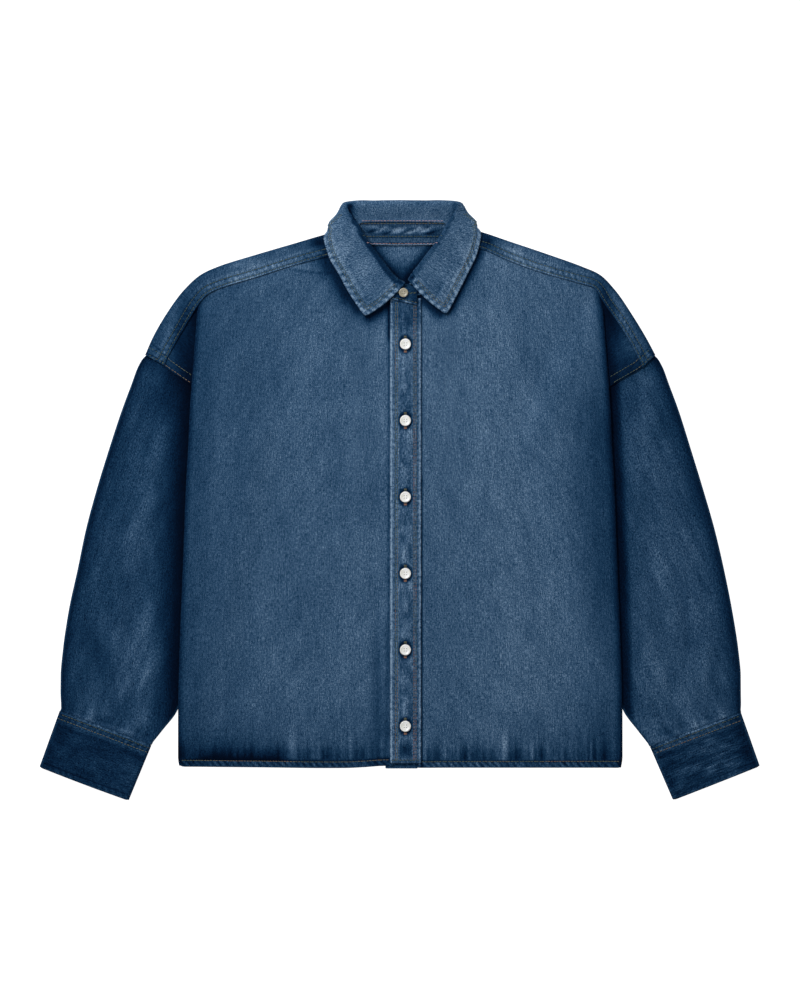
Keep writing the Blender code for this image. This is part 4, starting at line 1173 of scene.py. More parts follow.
def open_neck(mesh):
    """Cut the neck out of the yoke: the front layer between the neck's sides and the back one above
    the back neckline."""
    shape = bmesh.new()
    shape.from_mesh(mesh)
    left = (COLLAR_MIDDLE - NECK_SIDE) * MM
    right = (COLLAR_MIDDLE + NECK_SIDE) * MM
    neckline = BACK_NECK * MM
    layer = 2.8 * MM
    margin = 10 * MM
    planes = (((left, 0, 0), (1, 0, 0)), ((right, 0, 0), (1, 0, 0)), ((0, neckline, 0), (0, 1, 0)))
    for place, normal in planes:
        near = [f for f in shape.faces if left - margin < f.calc_center_median().x < right + margin]
        edges = {e for f in near for e in f.edges}
        verts = {v for f in near for v in f.verts}
        bmesh.ops.bisect_plane(
            shape, geom=near + list(edges) + list(verts), plane_co=place, plane_no=normal, dist=1e-7
        )
    gone = []
    for face in shape.faces:
        centre = face.calc_center_median()
        if left < centre.x < right and (centre.z > layer or centre.y > neckline):
            gone.append(face)
    bmesh.ops.delete(shape, geom=gone, context="FACES")
    shape.to_mesh(mesh)
    shape.free()


# ---------- Sleeves and cuffs ----------

SLEEVE_ROUND = 60  # points across the top of a sleeve
SLEEVE_SEED = {-1: 201, 1: 251}
SLEEVE_TONE = {-1: 0.35, 1: 0.41}
# darker towards the sleeve's outer rim: painted shade of its rounding, with darker dye there too
SLEEVE_RIM_SHADE_AND_DYE = {
    -1: ((0, 2, 6, 11.5, 20), (0.38, 0.54, 0.76, 0.92, 1.0)),
    1: ((0, 4, 14, 20), (0.36, 0.54, 0.9, 1.0)),
}
# painted shadow of the body's edge on the sleeve
SLEEVE_SHADOW_BESIDE_BODY = {
    -1: ((0, 6, 14, 24, 38), (0.15, 0.22, 0.42, 0.7, 1.0)),
    1: ((0, 7, 11, 16, 26), (0.18, 0.26, 0.5, 0.95, 1.0)),
}
GATHER_TONE = {-1: 0.05, 1: 0.09}
SLEEVE_BACK_TONE = 0.34
SLEEVE_CREASES = {
    -1: (
        (-300, 95, 63, 120, 8, -0.9, 8),
        (-280, 60, 66, 130, 9, 0.8, 6),
        (-330, 20, 72, 160, 10, -0.8, -8),
        (-300, -20, 74, 170, 11, 0.9, 8),
        (-345, -70, 76, 150, 9, 0.7, -6),
        (-300, -110, 78, 150, 10, -0.9, 8),
        (-325, -150, 84, 120, 8, 0.9, 6),
        (-350, -175, 95, 90, 7, -0.8, 5),
        (-285, -190, 62, 90, 8, 0.8, 6),
        (-305, -215, 80, 60, 5, -0.9, 3),
    ),
    1: (
        (300, 100, 117, 120, 8, -0.9, -8),
        (283, 60, 114, 130, 9, 0.8, -6),
        (328, 30, 108, 160, 10, -0.7, 8),
        (300, -10, 106, 170, 11, 0.8, -8),
        (345, -60, 104, 150, 9, -0.7, 6),
        (305, -100, 102, 160, 10, 0.9, -8),
        (330, -140, 98, 120, 8, -0.8, 6),
        (288, -185, 112, 110, 9, 1.0, -8),
        (350, -185, 84, 80, 7, 0.8, -4),
        (310, -210, 100, 60, 5, -0.9, -3),
    ),
}
SLEEVE_PATCHES = {
    -1: (
        (-300, -180, 36, 60, 0.09), (-268, 115, 14, 24, -0.1), (-311, 80, 10, 30, 0.04),
        (-299, -115, 11, 40, 0.13), (-322, -138, 9, 25, -0.07), (-362, -161, 12, 30, -0.07),
        (-334, -184, 12, 25, -0.08), (-311, -218, 14, 16, 0.06), (-294, -253, 9, 14, 0.09),
        (-315, -20, 22, 24, -0.03), (-259, 144, 13, 20, -0.1), (-290, 70, 9, 30, -0.05),
        (-362, -200, 9, 26, -0.05), (-315, -180, 7, 26, 0.05),
    ),
    1: (
        (300, -170, 40, 90, 0.07), (276, -161, 9, 24, -0.13), (287, 23, 14, 25, -0.06),
        (299, -115, 12, 20, -0.04), (333, -138, 14, 24, 0.05), (367, -172, 12, 22, -0.06),
        (322, -230, 16, 14, 0.09), (345, -69, 12, 30, 0.05), (299, 80, 12, 24, -0.06),
        (345, -225, 14, 14, 0.04), (302, -268, 16, 9, -0.12), (330, -60, 9, 60, 0.03),
        (378, -200, 8, 26, -0.03), (268, 118, 10, 20, -0.05),
    ),
}
CUFF_WAY = (0.326, -0.945)  # from the cuff's top edge to its mouth


def sleeve(side):
    """A sleeve: a flattened tube with long creases, gathered into its cuff."""
    seed = SLEEVE_SEED[side]
    sections = columns_of(SLEEVE, "outer_x outer_y inner_x inner_y lower upper")
    sections[:, 0] += read(SLEEVE_WIDER, WEARER[side], sections[:, 1])
    lowered = ease((-225 - sections[:, 1]) / 12)[:, None] * CUFF_DROP[side]
    sections[:, 0:4:2] += CUFF_WAY[0] * lowered
    sections[:, 1:4:2] += CUFF_WAY[1] * lowered
    stations = np.arange(len(sections))
    lengths = distances((sections[:, 0:2] + sections[:, 2:4]) / 2)
    places = merged(spaced(0, lengths[-1] - 40, 3.0), spaced(lengths[-1] - 38, lengths[-1], 1.6))
    at = np.interp(places, lengths, stations)
    points = np.array([sleeve_ring(*both, side) for both in zip(smooth(at, stations, sections), at)])
    round_it = np.array([distances(ring[:, :2]) for ring in points])
    x, y = points[..., 0], points[..., 1]
    column = np.arange(points.shape[1])[None, :]
    top = column < SLEEVE_ROUND
    share = np.clip(column / (SLEEVE_ROUND - 1), 0, 1) * np.ones((len(points), 1))
    from_outer = share * np.linalg.norm(points[:, 0, :2] - points[:, SLEEVE_ROUND - 1, :2], axis=1)[:, None]
    corner_x, corner_y = CUFF_TOP[0]
    to_cuff = (y - corner_y + CUFF_DROP[side]) * -CUFF_WAY[1] - (np.abs(x) - corner_x) * CUFF_WAY[0]
    beside = np.abs(x) - read(SIDE, "half", y)

    open_share = np.sqrt(np.clip(np.sin(math.pi * share), 0, 1)) * top
    gathering = noise1(share * 23, seed) + 0.7 * noise1(share * 12, seed + 1)
    tall = 22 + 12 * noise1(share * 15, seed + 2)
    gathers = gathering * (1 - ease((to_cuff - 2) / tall)) * ease((to_cuff + 1) / 3)
    relief = creases(SLEEVE_CREASES[side], x, y) * ease((beside - 6) / 18) + 0.8 * gathers
    relief += 0.3 * noise2(x / 17, y / 30, seed + 4) * ease((beside - 8) / 18)
    relief *= open_share * ease((places[:, None] - 14) / 20)
    points[..., 2] += relief

    tone = SLEEVE_TONE[side] + patches(SLEEVE_PATCHES[side], x, y)
    # painted light and shade of the creases and gathers
    tone *= 1 + 0.26 * relief + 0.2 * gathers * open_share
    tone *= np.where(top, smooth(from_outer, *SLEEVE_RIM_SHADE_AND_DYE[side]), 1)
    tone *= smooth(beside, *SLEEVE_SHADOW_BESIDE_BODY[side])
    tone *= 1 + 0.08 * noise2(x / 20 + y / 90, y / 50, seed + 6) + 0.08 * noise2(x / 7, y / 20, seed + 7)
    tone *= 1 + 0.1 * noise2((x + side * 0.5 * y) / 6, (side * 0.5 * x - y) / 40, seed + 8)
    # painted shade where the sleeve goes under the body
    tone *= 1 - 0.35 * (1 - ease((places[:, None] - 4) / 26))
    # painted highlight on the ridge just above the cuff
    bright = 0.16 * bell(to_cuff, 2.9, 1.1) * (0.7 + 0.4 * noise1(share * 19, seed + 9))
    tone += (bright + GATHER_TONE[side] * (1 - ease((to_cuff - 3) / 30))) * open_share
    tone = np.where(top, tone, SLEEVE_BACK_TONE)

    made = cloth(
        f"sleeve_{WEARER[side]}", points, THIN, DENIM_SLEEVE,
        (round_it, places[:, None], seed * 7.0), tone, ring=True, flip=side > 0,
    )
    return made


def sleeve_ring(section, station, side):
    """One ring of a sleeve, as in part.py with more points: the top from the outer edge to the inner
    one, the inner fold, the underside back, and the outer fold."""
    outer, inner = section[0:2], section[2:4]
    lower, upper = section[4:6]
    width = np.linalg.norm(inner - outer)
    along = (inner - outer) / width
    normal = np.array([along[1], -along[0]])
    if normal[1] < 0:
        normal = -normal
    radius = (upper - lower) / 2
    edge = radius + PLY / 2
    bow = ARMHOLE_BOW * (1 - float(ease(station / ARMHOLE_RINGS)))

    def place(share):
        inset = edge + (width - 2 * edge) * share
        spots = outer + along * inset[:, None] + normal * (bow * np.sin(math.pi * share))[:, None]
        return side * spots[:, 0], spots[:, 1]

    def fold(corner, way, angles, span):
        for bend in np.radians(angles):
            tip = corner + way * (edge - (edge - PLY / 2) * math.sin(bend))
            points.append((side * tip[0], tip[1], lower + span * (1 + math.cos(bend))))

    x, y = place(np.linspace(0, 1, SLEEVE_ROUND))
    beside = np.abs(x) - read(SIDE, "half", y)
    free = ease((beside - SLEEVE_CLEAR[0]) / (SLEEVE_CLEAR[1] - SLEEVE_CLEAR[0]))
    roof = min(upper, SLEEVE_TUCKED)
    height = roof + (upper - roof) * free
    height[0] = upper
    points = list(zip(x, y, height))
    fold(inner, -along, (45, 90, 135), (height[-1] - lower) / 2)
    x, y = place(np.linspace(1, 0, SLEEVE_ROUND // 2))
    points.extend(zip(x, y, np.full(x.shape, lower)))
    fold(outer, along, (135, 90, 45), radius)
    return np.array(points)


CUFF_ROWS_IN = (3.0, 8.4)  # stitch rows, in from the top edge
CUFF_MOUTH_ROW = 5.8
CUFF_FACE = 60  # points across a cuff's top
CUFF_BACK = 24
CUFF_BENDS = np.radians(np.linspace(0, 180, 9)[1:-1])
CUFF_STEPS = np.array((0, 0.3, 0.7, 1.2, 1.8, 2.4, 3.0, 3.6, 4.4, 5.6, 6.8, 7.7, 8.4, 9.0, 9.8, 11))
CUFF_MOUTH_STEPS = np.array((0, 0.3, 0.8, 1.6, 2.8, 4.0, 5.0, 5.8, 6.6, 7.8))
CUFF_SEED = {-1: 301, 1: 351}
# a painted highlight on the top edge's ridge, painted shade under it and in the stitch grooves
CUFF_TONE = {  # down from the top edge
    -1: (
        (0, 1.1, 2.3, 3.3, 4.8, 7, 9, 10.5, 12.6, 15.5, 18.4, 21, 30),
        (0.32, 0.5, 0.2, 0.2, 0.3, 0.29, 0.3, 0.32, 0.27, 0.17, 0.2, 0.22, 0.235),
    ),
    1: (
        (0, 1.1, 2.3, 3.3, 4.8, 7, 9.2, 11.5, 13.5, 17, 20, 30),
        (0.36, 0.56, 0.27, 0.27, 0.36, 0.39, 0.32, 0.25, 0.18, 0.25, 0.28, 0.285),
    ),
}
# painted shade in the stitch groove by the mouth
CUFF_MOUTH_GROOVE_SHADE = {-1: 0.5, 1: 0.3}


def cuff_corners(side):
    """A cuff's top edge and its mouth as they are drawn, each with its outer and its inner corner."""
    bottom = np.array(CUFF_BOTTOM)
    top = np.array(CUFF_TOP)
    top = top + (bottom - top) * CUFF_DROP[side] / np.linalg.norm(bottom[0] - top[0])
    wide = unit(bottom[0] - bottom[1])
    outer, inner = CUFF_WIDER_TOP[side]
    top = top + wide * np.array([[outer], [-inner]])
    longer = unit(bottom[0] - top[0]) * CUFF_LONGER[side]
    outer, inner = CUFF_WIDER_MOUTH[side]
    bottom = bottom + wide * np.array([[outer], [-inner]])
    bottom[0] += longer
    return top, bottom


def cuff_ring(side, outer, inner):
    """One ring of a cuff: its face, the inner fold, its back, and the outer fold."""
    lower = CUFF_WALL / 2
    upper = CUFF_WALL * 1.5 + CUFF_INSIDE
    radius = (upper - lower) / 2
    inset = radius + CUFF_WALL / 2
    width = np.linalg.norm(inner - outer)
    along = (inner - outer) / width
    flat = width - 2 * inset
    face = [(outer + along * (inset + flat * t), upper) for t in np.linspace(0, 1, CUFF_FACE)]
    behind = [(outer + along * (inset + flat * t), lower) for t in np.linspace(1, 0, CUFF_BACK)]
    folds = []
    for corner, way, bends in ((inner, -along, CUFF_BENDS), (outer, along, CUFF_BENDS[::-1])):
        folds.append([
            (corner + way * (inset - radius * math.sin(bend)), lower + radius * (1 + math.cos(bend)))
            for bend in bends
        ])
    return [(side * at[0], at[1], height) for at, height in face + folds[0] + behind + folds[1]]


def cuff(side):
    """A closed cuff, two plies, with its stitch rows, rolls and crinkles."""
    seed = CUFF_SEED[side]
    top, bottom = cuff_corners(side)
    tall = np.linalg.norm(bottom[0] - top[0])
    places = merged(CUFF_STEPS, tall - CUFF_MOUTH_STEPS, spaced(12.5, tall - 9.5, 1.7))
    points = np.array([cuff_ring(side, *(top + (bottom - top) * (place / tall))) for place in places])
    around = row_distances(points * (1, 1, 0))
    down = np.broadcast_to(places[:, None], around.shape)
    up = tall - down
    column = np.arange(points.shape[1])[None, :]
    face = (column < CUFF_FACE) * 1.0
    shares = np.clip(column / (CUFF_FACE - 1), 0, 1)
    back_shares = 1 - np.clip((column - CUFF_FACE - len(CUFF_BENDS)) / (CUFF_BACK - 1), 0, 1)
    bowed = np.sin(math.pi * np.minimum(shares, back_shares)) * CUFF_BOW[side] * (down / tall) ** 2
    way = unit(bottom[0] - top[0])
    points[..., 0] += side * way[0] * bowed
    points[..., 1] += way[1] * bowed

    rolls = puckers(around, down, seed, length=7.5, reach=(0.4, 8.0), slant=0.4)
    mouth_rolls = puckers(around, up, seed + 4, length=8.5, reach=(0.4, 5.0), slant=0.8)
    crinkle = noise2(around / 13, down / 8, seed + 5) + 0.6 * noise2(around / 6, down / 4.5, seed + 6)
    middle = ease((down - 9) / 4) * ease((up - 7) / 4)
    relief = 0.22 * rolls * ease((down - 1.5) / 2) + 0.2 * mouth_rolls + 0.2 * middle * crinkle
    relief += grooves(down, CUFF_ROWS_IN, 0.32, 0.85) + groove(up, CUFF_MOUTH_ROW, 0.4, 0.9)
    relief += 0.3 * bell(down, 1.0, 0.8)
    relief *= face * np.sqrt(np.clip(np.sin(math.pi * shares), 0, 1))
    points[..., 2] += relief + (edge_curl(down, 0.8) + edge_curl(up, 0.8)) * face

    tone = smooth(down, *CUFF_TONE[side])
    # painted light and shade of the rolls and crinkles, with wear on the ridges
    tone *= 1 + 0.3 * rolls * ease((down - 2) / 1.5) + 0.24 * mouth_rolls + 0.2 * middle * crinkle
    tone *= 1 + 0.1 * noise2(around / 26, down / 20, seed + 8)
    if side > 0:
        tone *= 1 + 0.3 * noise2(around / 45, down / 1.8, seed + 9) * middle
    tone *= 1 - CUFF_MOUTH_GROOVE_SHADE[side] * bell(up, CUFF_MOUTH_ROW, 0.9)
    tone *= 1 - 0.3 * (1 - ease(shares / 0.2))
    if side > 0:
        tone *= 1 + 0.36 * bell(shares, 0.45, 0.22) * middle - 0.2 * ease((shares - 0.85) / 0.15)
        tone *= 1 - 0.22 * (1 - ease(shares / 0.3))
    tone += 0.06 * bell(up, 0.9, 0.8)
    tone = np.where(face > 0, tone, CUFF_TONE[side][1][-1])
    made = cloth(
        f"cuff_{WEARER[side]}", points, DOUBLE, DENIM_CUFF if side < 0 else DENIM_CUFF_STREAKY,
        (down, around, seed * 3.0), tone, ring=True, flip=side > 0,
    )
    return made


# ---------- Collar ----------

LEAF_OVER_STAND = 3.6
LEAF_POINT_ROUNDING = 1.6
LEAF_STITCH_ROWS = (5.4, 7.8)
LEAF_STEPS = np.array((0, 0.3, 0.7, 1.2, 1.9, 2.8, 3.8, 4.7, 5.4, 6.0, 6.6, 7.2, 7.8, 8.4, 9.2, 10.4))
LEAF_KNOTS = (0, 0.42, 0.78, 1)  # where edge, side, roll and seam are, as shares of a section
# lighter rim at the edge, painted shade in the stitch grooves
LEAF_TONE = (  # in from the edge
    (0, 0.8, 2, 3.1, 5.4, 6.6, 7.8, 8.9, 10.2, 11.4, 12.6, 15),
    (0.44, 0.76, 0.73, 0.64, 0.54, 0.6, 0.52, 0.63, 0.7, 0.67, 0.6, 0.56),
)
# painted shade beyond the roll, where the leaf turns down
LEAF_ROLL_SHADE = ((-7, -4, -2.5, -1, 1.5, 3.5, 5.5, 9), (1.0, 0.94, 0.62, 0.36, 0.36, 0.55, 0.75, 0.85))
LEAF_PATCHES = (
    (-41, 253, 11, 13, 0.15), (-41, 228, 10, 7, -0.15), (46, 242, 12, 12, -0.1), (29, 242, 8, 8, -0.12),
    (-57, 331, 5, 8, -0.16), (63, 254, 7, 14, 0.05), (-70, 296, 9, 12, 0.05),
)
LEAF_CREASES = (
    (50, 243, 62, 34, 2.4, 0.55, 5),
    (44, 239, 60, 32, 2.4, -0.5, 5),
    (-62, 286, 60, 70, 5, 0.35, 4),
    (-40, 250, 45, 60, 6, -0.3, -4),
    (70, 290, 118, 60, 5, 0.3, -3),
    (48.5, 238, 84, 22, 1.4, 0.5, 3),
)
# painted shade in the stitch grooves and under the seams at the back
STAND_SHADE_LINES = ((303.1, 1.3, 0.35), (305.3, 1.2, 0.3), (318.2, 1.8, 0.25))  # y, width, share lost
STAND_BACK_ROWS = ((303.1, 0.5), (317.6, 0.4))  # y, depth of the groove
# painted shadow of the leaf's edges on the tab
STAND_LEAF_SHADES = ((1.0, -11, 4.5), (0.8, 18, 5), (1.0, -0.5, 3.5))  # how dark, x, width
STAND_CREASES = (
    (-22, 310.5, 28, 26, 1.3, 0.6, 2),
    (-4, 310, 24, 30, 1.4, 0.6, -2),
    (4, 308, 22, 26, 1.3, -0.5, 1),
    (16, 309.5, 20, 30, 1.4, 0.55, 2),
    (30, 310.5, 24, 26, 1.3, 0.5, 1),
    (36, 308, 16, 22, 1.2, -0.5, 1),
    (-34, 309, 18, 22, 1.3, -0.4, 1),
    (-14, 307.5, 14, 24, 1.2, -0.5, 1),
)


def both_sides(half, right_ends, left_ends):
    """Sections from the wearer's right front edge round the back to the left one, in world x."""
    columns = np.column_stack(list(half.values()))
    right = np.vstack([columns, right_ends])[::-1].copy()
    left = np.vstack([columns[1:], left_ends])
    right[:, 0::3] = COLLAR_MIDDLE - right[:, 0::3]
    left[:, 0::3] = COLLAR_MIDDLE + left[:, 0::3]
    return np.vstack([right, left])


def arc_through(points, across):
    """A round curve through the points of a leaf section, by Catmull and Rom's rule."""
    ends = np.vstack([2 * points[0] - points[1], points, 2 * points[-1] - points[-2]])
    made = []
    for at in across:
        span = min(int(np.searchsorted(LEAF_KNOTS, at, side="right")) - 1, len(points) - 2)
        t = (at - LEAF_KNOTS[span]) / (LEAF_KNOTS[span + 1] - LEAF_KNOTS[span])
        a, b, c, d = ends[span:span + 4]
        square = (2 * a - 5 * b + 4 * c - d) * t * t
        made.append(0.5 * (2 * b + (c - a) * t + square + (3 * b - a - 3 * c + d) * t ** 3))
    return np.array(made)


def leaf_sections():
    """The leaf's sections as they are drawn: the left leaf lies higher, and the edges are moved a little."""
    sections = both_sides(LEAF, [RIGHT_LEAF_END], [LEFT_LEAF_END])
    forward = np.arange(len(sections)) - len(LEAF["edge_x"])
    lift = LEFT_LEAF_LIFT * ease((forward - 3) / 2)
    sections[:, 1] += lift
    sections[:, 4] += lift / 2
    for side, rows in ((-1, (3, 2, 1, 0)), (1, (-4, -3, -2, -1))):
        for row, more in zip(rows, LEAF_WIDER[side]):
            sections[row, 0] += side * LEAF_WIDER_WAY[0] * more
            sections[row, 1] += LEAF_WIDER_WAY[1] * more
    return sections


def at_lengths(path, places):
    """Points of a path at distances along it."""
    lengths = distances(path)
    return np.column_stack([np.interp(places, lengths, path[:, k]) for k in range(path.shape[1])])


def leaf_grid():
    """The leaf's points: rows from the right front edge round to the left, each from the outer edge
    over the roll to the seam. Both kinds of edge have the same close steps for their stitching."""
    sections = leaf_sections()
    stations = np.arange(len(sections))
    fine = np.linspace(0, stations[-1], 361)
    stand = both_sides(STAND, RIGHT_STAND_END[:1], LEFT_STAND_END[:1])
    rows = []
    for section, target in zip(smooth(fine, stations, sections), smooth(fine, stations, stand[:, 0:3])):
        row = arc_through(section.reshape(4, 3), np.linspace(0, 1, 90))
        onward = target[:2] - row[-1, :2]
        onward = onward / max(np.linalg.norm(onward), 1e-6) * LEAF_OVER_STAND
        tip = row[-1] + np.array((*onward, 0.9))
        row = np.vstack([row, (row[-1] + tip) / 2 + np.array((0, 0, 0.2)), tip])
        rest = np.linspace(LEAF_STEPS[-1], distances(row)[-1], 40)[1:]
        rows.append(at_lengths(row, np.concatenate([LEAF_STEPS, rest])))
    base = np.array(rows)
    count = base.shape[1]
    columns = []
    for column in range(count):
        path = base[:, column]
        inward = base[:, min(column + 1, count - 1)] - base[:, max(column - 1, 0)]
        start = LEAF_STEPS * end_scale(path[2] - path[0], inward[0])
        end = distances(path)[-1] - LEAF_STEPS[::-1] * end_scale(path[-3] - path[-1], inward[-1])
        between = np.linspace(start[-1], end[0], 150)[1:-1]
        columns.append(at_lengths(path, np.concatenate([start, between, end])))
    return np.stack(columns, axis=1)


def from_leaf_ends(rows):
    """Distance of each row of the leaf from the nearer front edge, 40 at most."""
    count = len(LEAF_STEPS)
    row = np.arange(rows)
    nearest = np.full(rows, 40.0)
    nearest[:count] = LEAF_STEPS
    nearest[-count:] = LEAF_STEPS[::-1]
    for past in (row - count, rows - count - 1 - row):
        nearest = np.minimum(nearest, np.where(past > 0, past * 1.6 + LEAF_STEPS[-1], 40))
    return nearest[:, None]


def collar_leaf():
    """The fall of the collar. Gives its points as well, for the stitch rows."""
    points = leaf_grid()
    across = row_distances(points)
    along = np.broadcast_to(distances(points[:, 8])[:, None], across.shape)
    from_end = np.broadcast_to(from_leaf_ends(len(points)), across.shape)
    in_from_edge = np.minimum(across, from_end)
    run = np.where(across < from_end, along, across + 300)
    for corner, inner_point in (((0, 0), (12, 12)), ((-1, 0), (-13, 12))):
        bisector = unit(points[inner_point] - points[corner])
        near = np.clip(1 - np.maximum(across, from_end) / 6.5, 0, 1) ** 2
        half = (np.arange(len(points)) < len(points) / 2) == (corner[0] == 0)
        points = points + LEAF_POINT_ROUNDING * (near * half[:, None])[..., None] * bisector

    rolls = puckers(run, in_from_edge, 401, length=8.2, reach=(0.4, 6.2), slant=0.7)
    inner = ease((in_from_edge - 9) / 4)
    soft = noise2(points[..., 0] / 15, points[..., 1] / 15, 403)
    fold_marks = creases(LEAF_CREASES, points[..., 0], points[..., 1])
    relief = grooves(in_from_edge, LEAF_STITCH_ROWS, 0.3, 0.8) + 0.26 * rolls + 0.3 * inner * soft
    relief += fold_marks * ease((in_from_edge - 5) / 4) + 0.9 * edge_curl(in_from_edge, 0.7)
    normals = grid_normals(points)
    flip = np.sign(np.mean(normals[:20, 20:40, 2]))
    points = points + normals * flip * relief[..., None]

    x, y = points[..., 0], points[..., 1]
    behind = ease((y - 317) / 6) * (1 - ease((np.abs(x - COLLAR_MIDDLE) - 0.42 * (y - 320) - 47) / 4))
    tone = smooth(in_from_edge, *LEAF_TONE)
    tone *= 1 + 0.06 * ease((x - 20) / 30) * (1 - behind)
    # painted light and shade of the rolls and fold marks, with wear on the ridges
    tone *= 1 + 0.45 * rolls + 0.1 * inner * soft + 0.35 * fold_marks
    crest = across[np.arange(len(points)), np.argmax(points[..., 2] - relief, axis=1)]
    crest = np.convolve(np.pad(crest, 6, mode="edge"), np.ones(13) / 13, mode="valid")
    # painted shade beyond the roll, less on the left leaf, and at the far end behind the neck
    rolled = smooth(across - crest[:, None], *LEAF_ROLL_SHADE)
    rolled += (1 - rolled) * 0.45 * ease((x - 12) / 8)
    tone *= rolled + (1 - rolled) * behind
    tone *= 1 - 0.08 * ease((across / across[:, -1:] - 0.93) / 0.07) * behind
    tone *= 1 + 0.08 * noise2(x / 24, y / 20, 405)
    tone += patches(LEAF_PATCHES, x, y)
    grain = (along, across, 1200)
    made = cloth("collar_leaf", points, DOUBLE, DENIM_TRIM, grain, tone, even=False)
    return made, points


def end_scale(along, inward):
    """How much further to go along than across for one unit of distance from a slanted end."""
    along = unit(along[:2])
    inward = inward[:2] / max(np.linalg.norm(inward[:2]), 1e-6)
    return 1 / max(abs(along[0] * inward[1] - along[1] * inward[0]), 0.55)


def collar_stand():
    """The collar stand, crinkled at the back of the neck, with the tab that carries the collar button."""
    sections = both_sides(STAND, RIGHT_STAND_END, LEFT_STAND_END)
    stations = np.arange(len(sections))
    depth = np.concatenate([spaced(0, 0.16, 0.02), spaced(0.2, 0.56, 0.04), spaced(0.58, 1, 0.02)])[:, None]
    points = np.array([
        section[0:3] + (section[3:6] - section[0:3]) * depth
        for section in smooth(spaced(0, stations[-1], 0.1), stations, sections)
    ])
    across = row_distances(points)
    from_foot = across[:, -1:] - across
    downs = distances(points[:, 10])
    along = np.broadcast_to(downs[:, None], across.shape)
    from_end = np.minimum(along, downs[-1] - along)
    x, y = points[..., 0].copy(), points[..., 1].copy()
    rolls = puckers(along, from_foot, 501, length=8, reach=(0.4, 3.4), slant=0.6)
    crinkle = creases(STAND_CREASES, x, y)
    ripple = noise2(x / 10 + y / 9, y / 5, 503)
    behind = ease((y - 290) / 4)
    crinkled = behind * ease((y - 304.5) / 2) * (1 - ease((y - 315) / 2))
    relief = 0.14 * rolls + groove(from_foot, 2.2, 0.25, 0.7) * (1 - behind)
    back_grooves = sum(groove(y, line, depth, 0.9) for line, depth in STAND_BACK_ROWS)
    relief += crinkled * (crinkle + 0.3 * ripple) + behind * back_grooves
    relief += edge_curl(from_foot, 0.5) + edge_curl(from_end, 0.5)
    normals = grid_normals(points)
    points = points + normals * np.sign(np.mean(normals[..., 2])) * relief[..., None]

    tone = STAND_TONE + STAND_BACK_LIGHTER * behind
    # painted light and shade of the rolls and the crinkles at the back
    tone *= 1 + 0.25 * rolls
    tone *= 1 + crinkled * (1.5 * crinkle + 0.45 * ripple)
    tone += (0.38 + 0.1 * behind) * bell(from_foot, 0.7, 0.6)
    tone += 0.16 * bell(from_end, 0.9, 0.8) * (1 - behind)
    # painted shade in the stitch groove by the foot
    tone *= 1 - 0.4 * bell(from_foot, 2.4, 0.8)
    for line, width, share in STAND_SHADE_LINES:
        tone *= 1 - share * bell(y, line, width) * behind
    # painted shade under the leaf at the back
    tone *= 1 - 0.1 * ease((y - 319) / 2) * behind
    # painted shadow of the leaf on the tab, and painted shade under the leaf
    leaf_shadow_on_tab = np.clip(sum(dark * bell(x, at, width) for dark, at, width in STAND_LEAF_SHADES), 0, 1)
    tone *= 1 - 0.55 * leaf_shadow_on_tab * (1 - behind) * ease((y - 214) / 5)
    shade_under_leaf = (1 - behind) * ease((0.8 - across / across[:, -1:]) / 0.5) * (from_end > 22)
    tone *= 1 - 0.8 * shade_under_leaf
    made = cloth(
        "collar_stand", points, STRIP, DENIM_TRIM, (along, across, 1500), tone, even=False
    )
    return made


# ---------- Buttons and buttonholes ----------

BUTTON_SIDES = 64
BUTTON_HOLE_OUT = 1.35
BUTTON_HOLE_RADIUS = 0.45
COLLAR_BUTTON_SHARE = 0.84  # of the other buttons' size
HOLE_HALF = 8.6  # half the length of a buttonhole's satin stitches
HOLE_GAP = 0.75
HOLE_STITCH_STEP = 0.62
HOLE_THREAD = 0.55
BUTTON_PROFILE = (  # radius and height, from the top's middle round to the bottom's
    (0.0, 2.05), (1.0, 2.03), (2.6, 2.0), (3.5, 2.02), (4.1, 2.22), (4.6, 2.48), (5.1, 2.6), (5.55, 2.58),
    (5.95, 2.42), (6.2, 2.12), (6.3, 1.75), (6.15, 1.3), (5.8, 0.8), (5.2, 0.3), (4.6, 0.05), (3.0, 0.0),
    (0.0, 0.0),
)


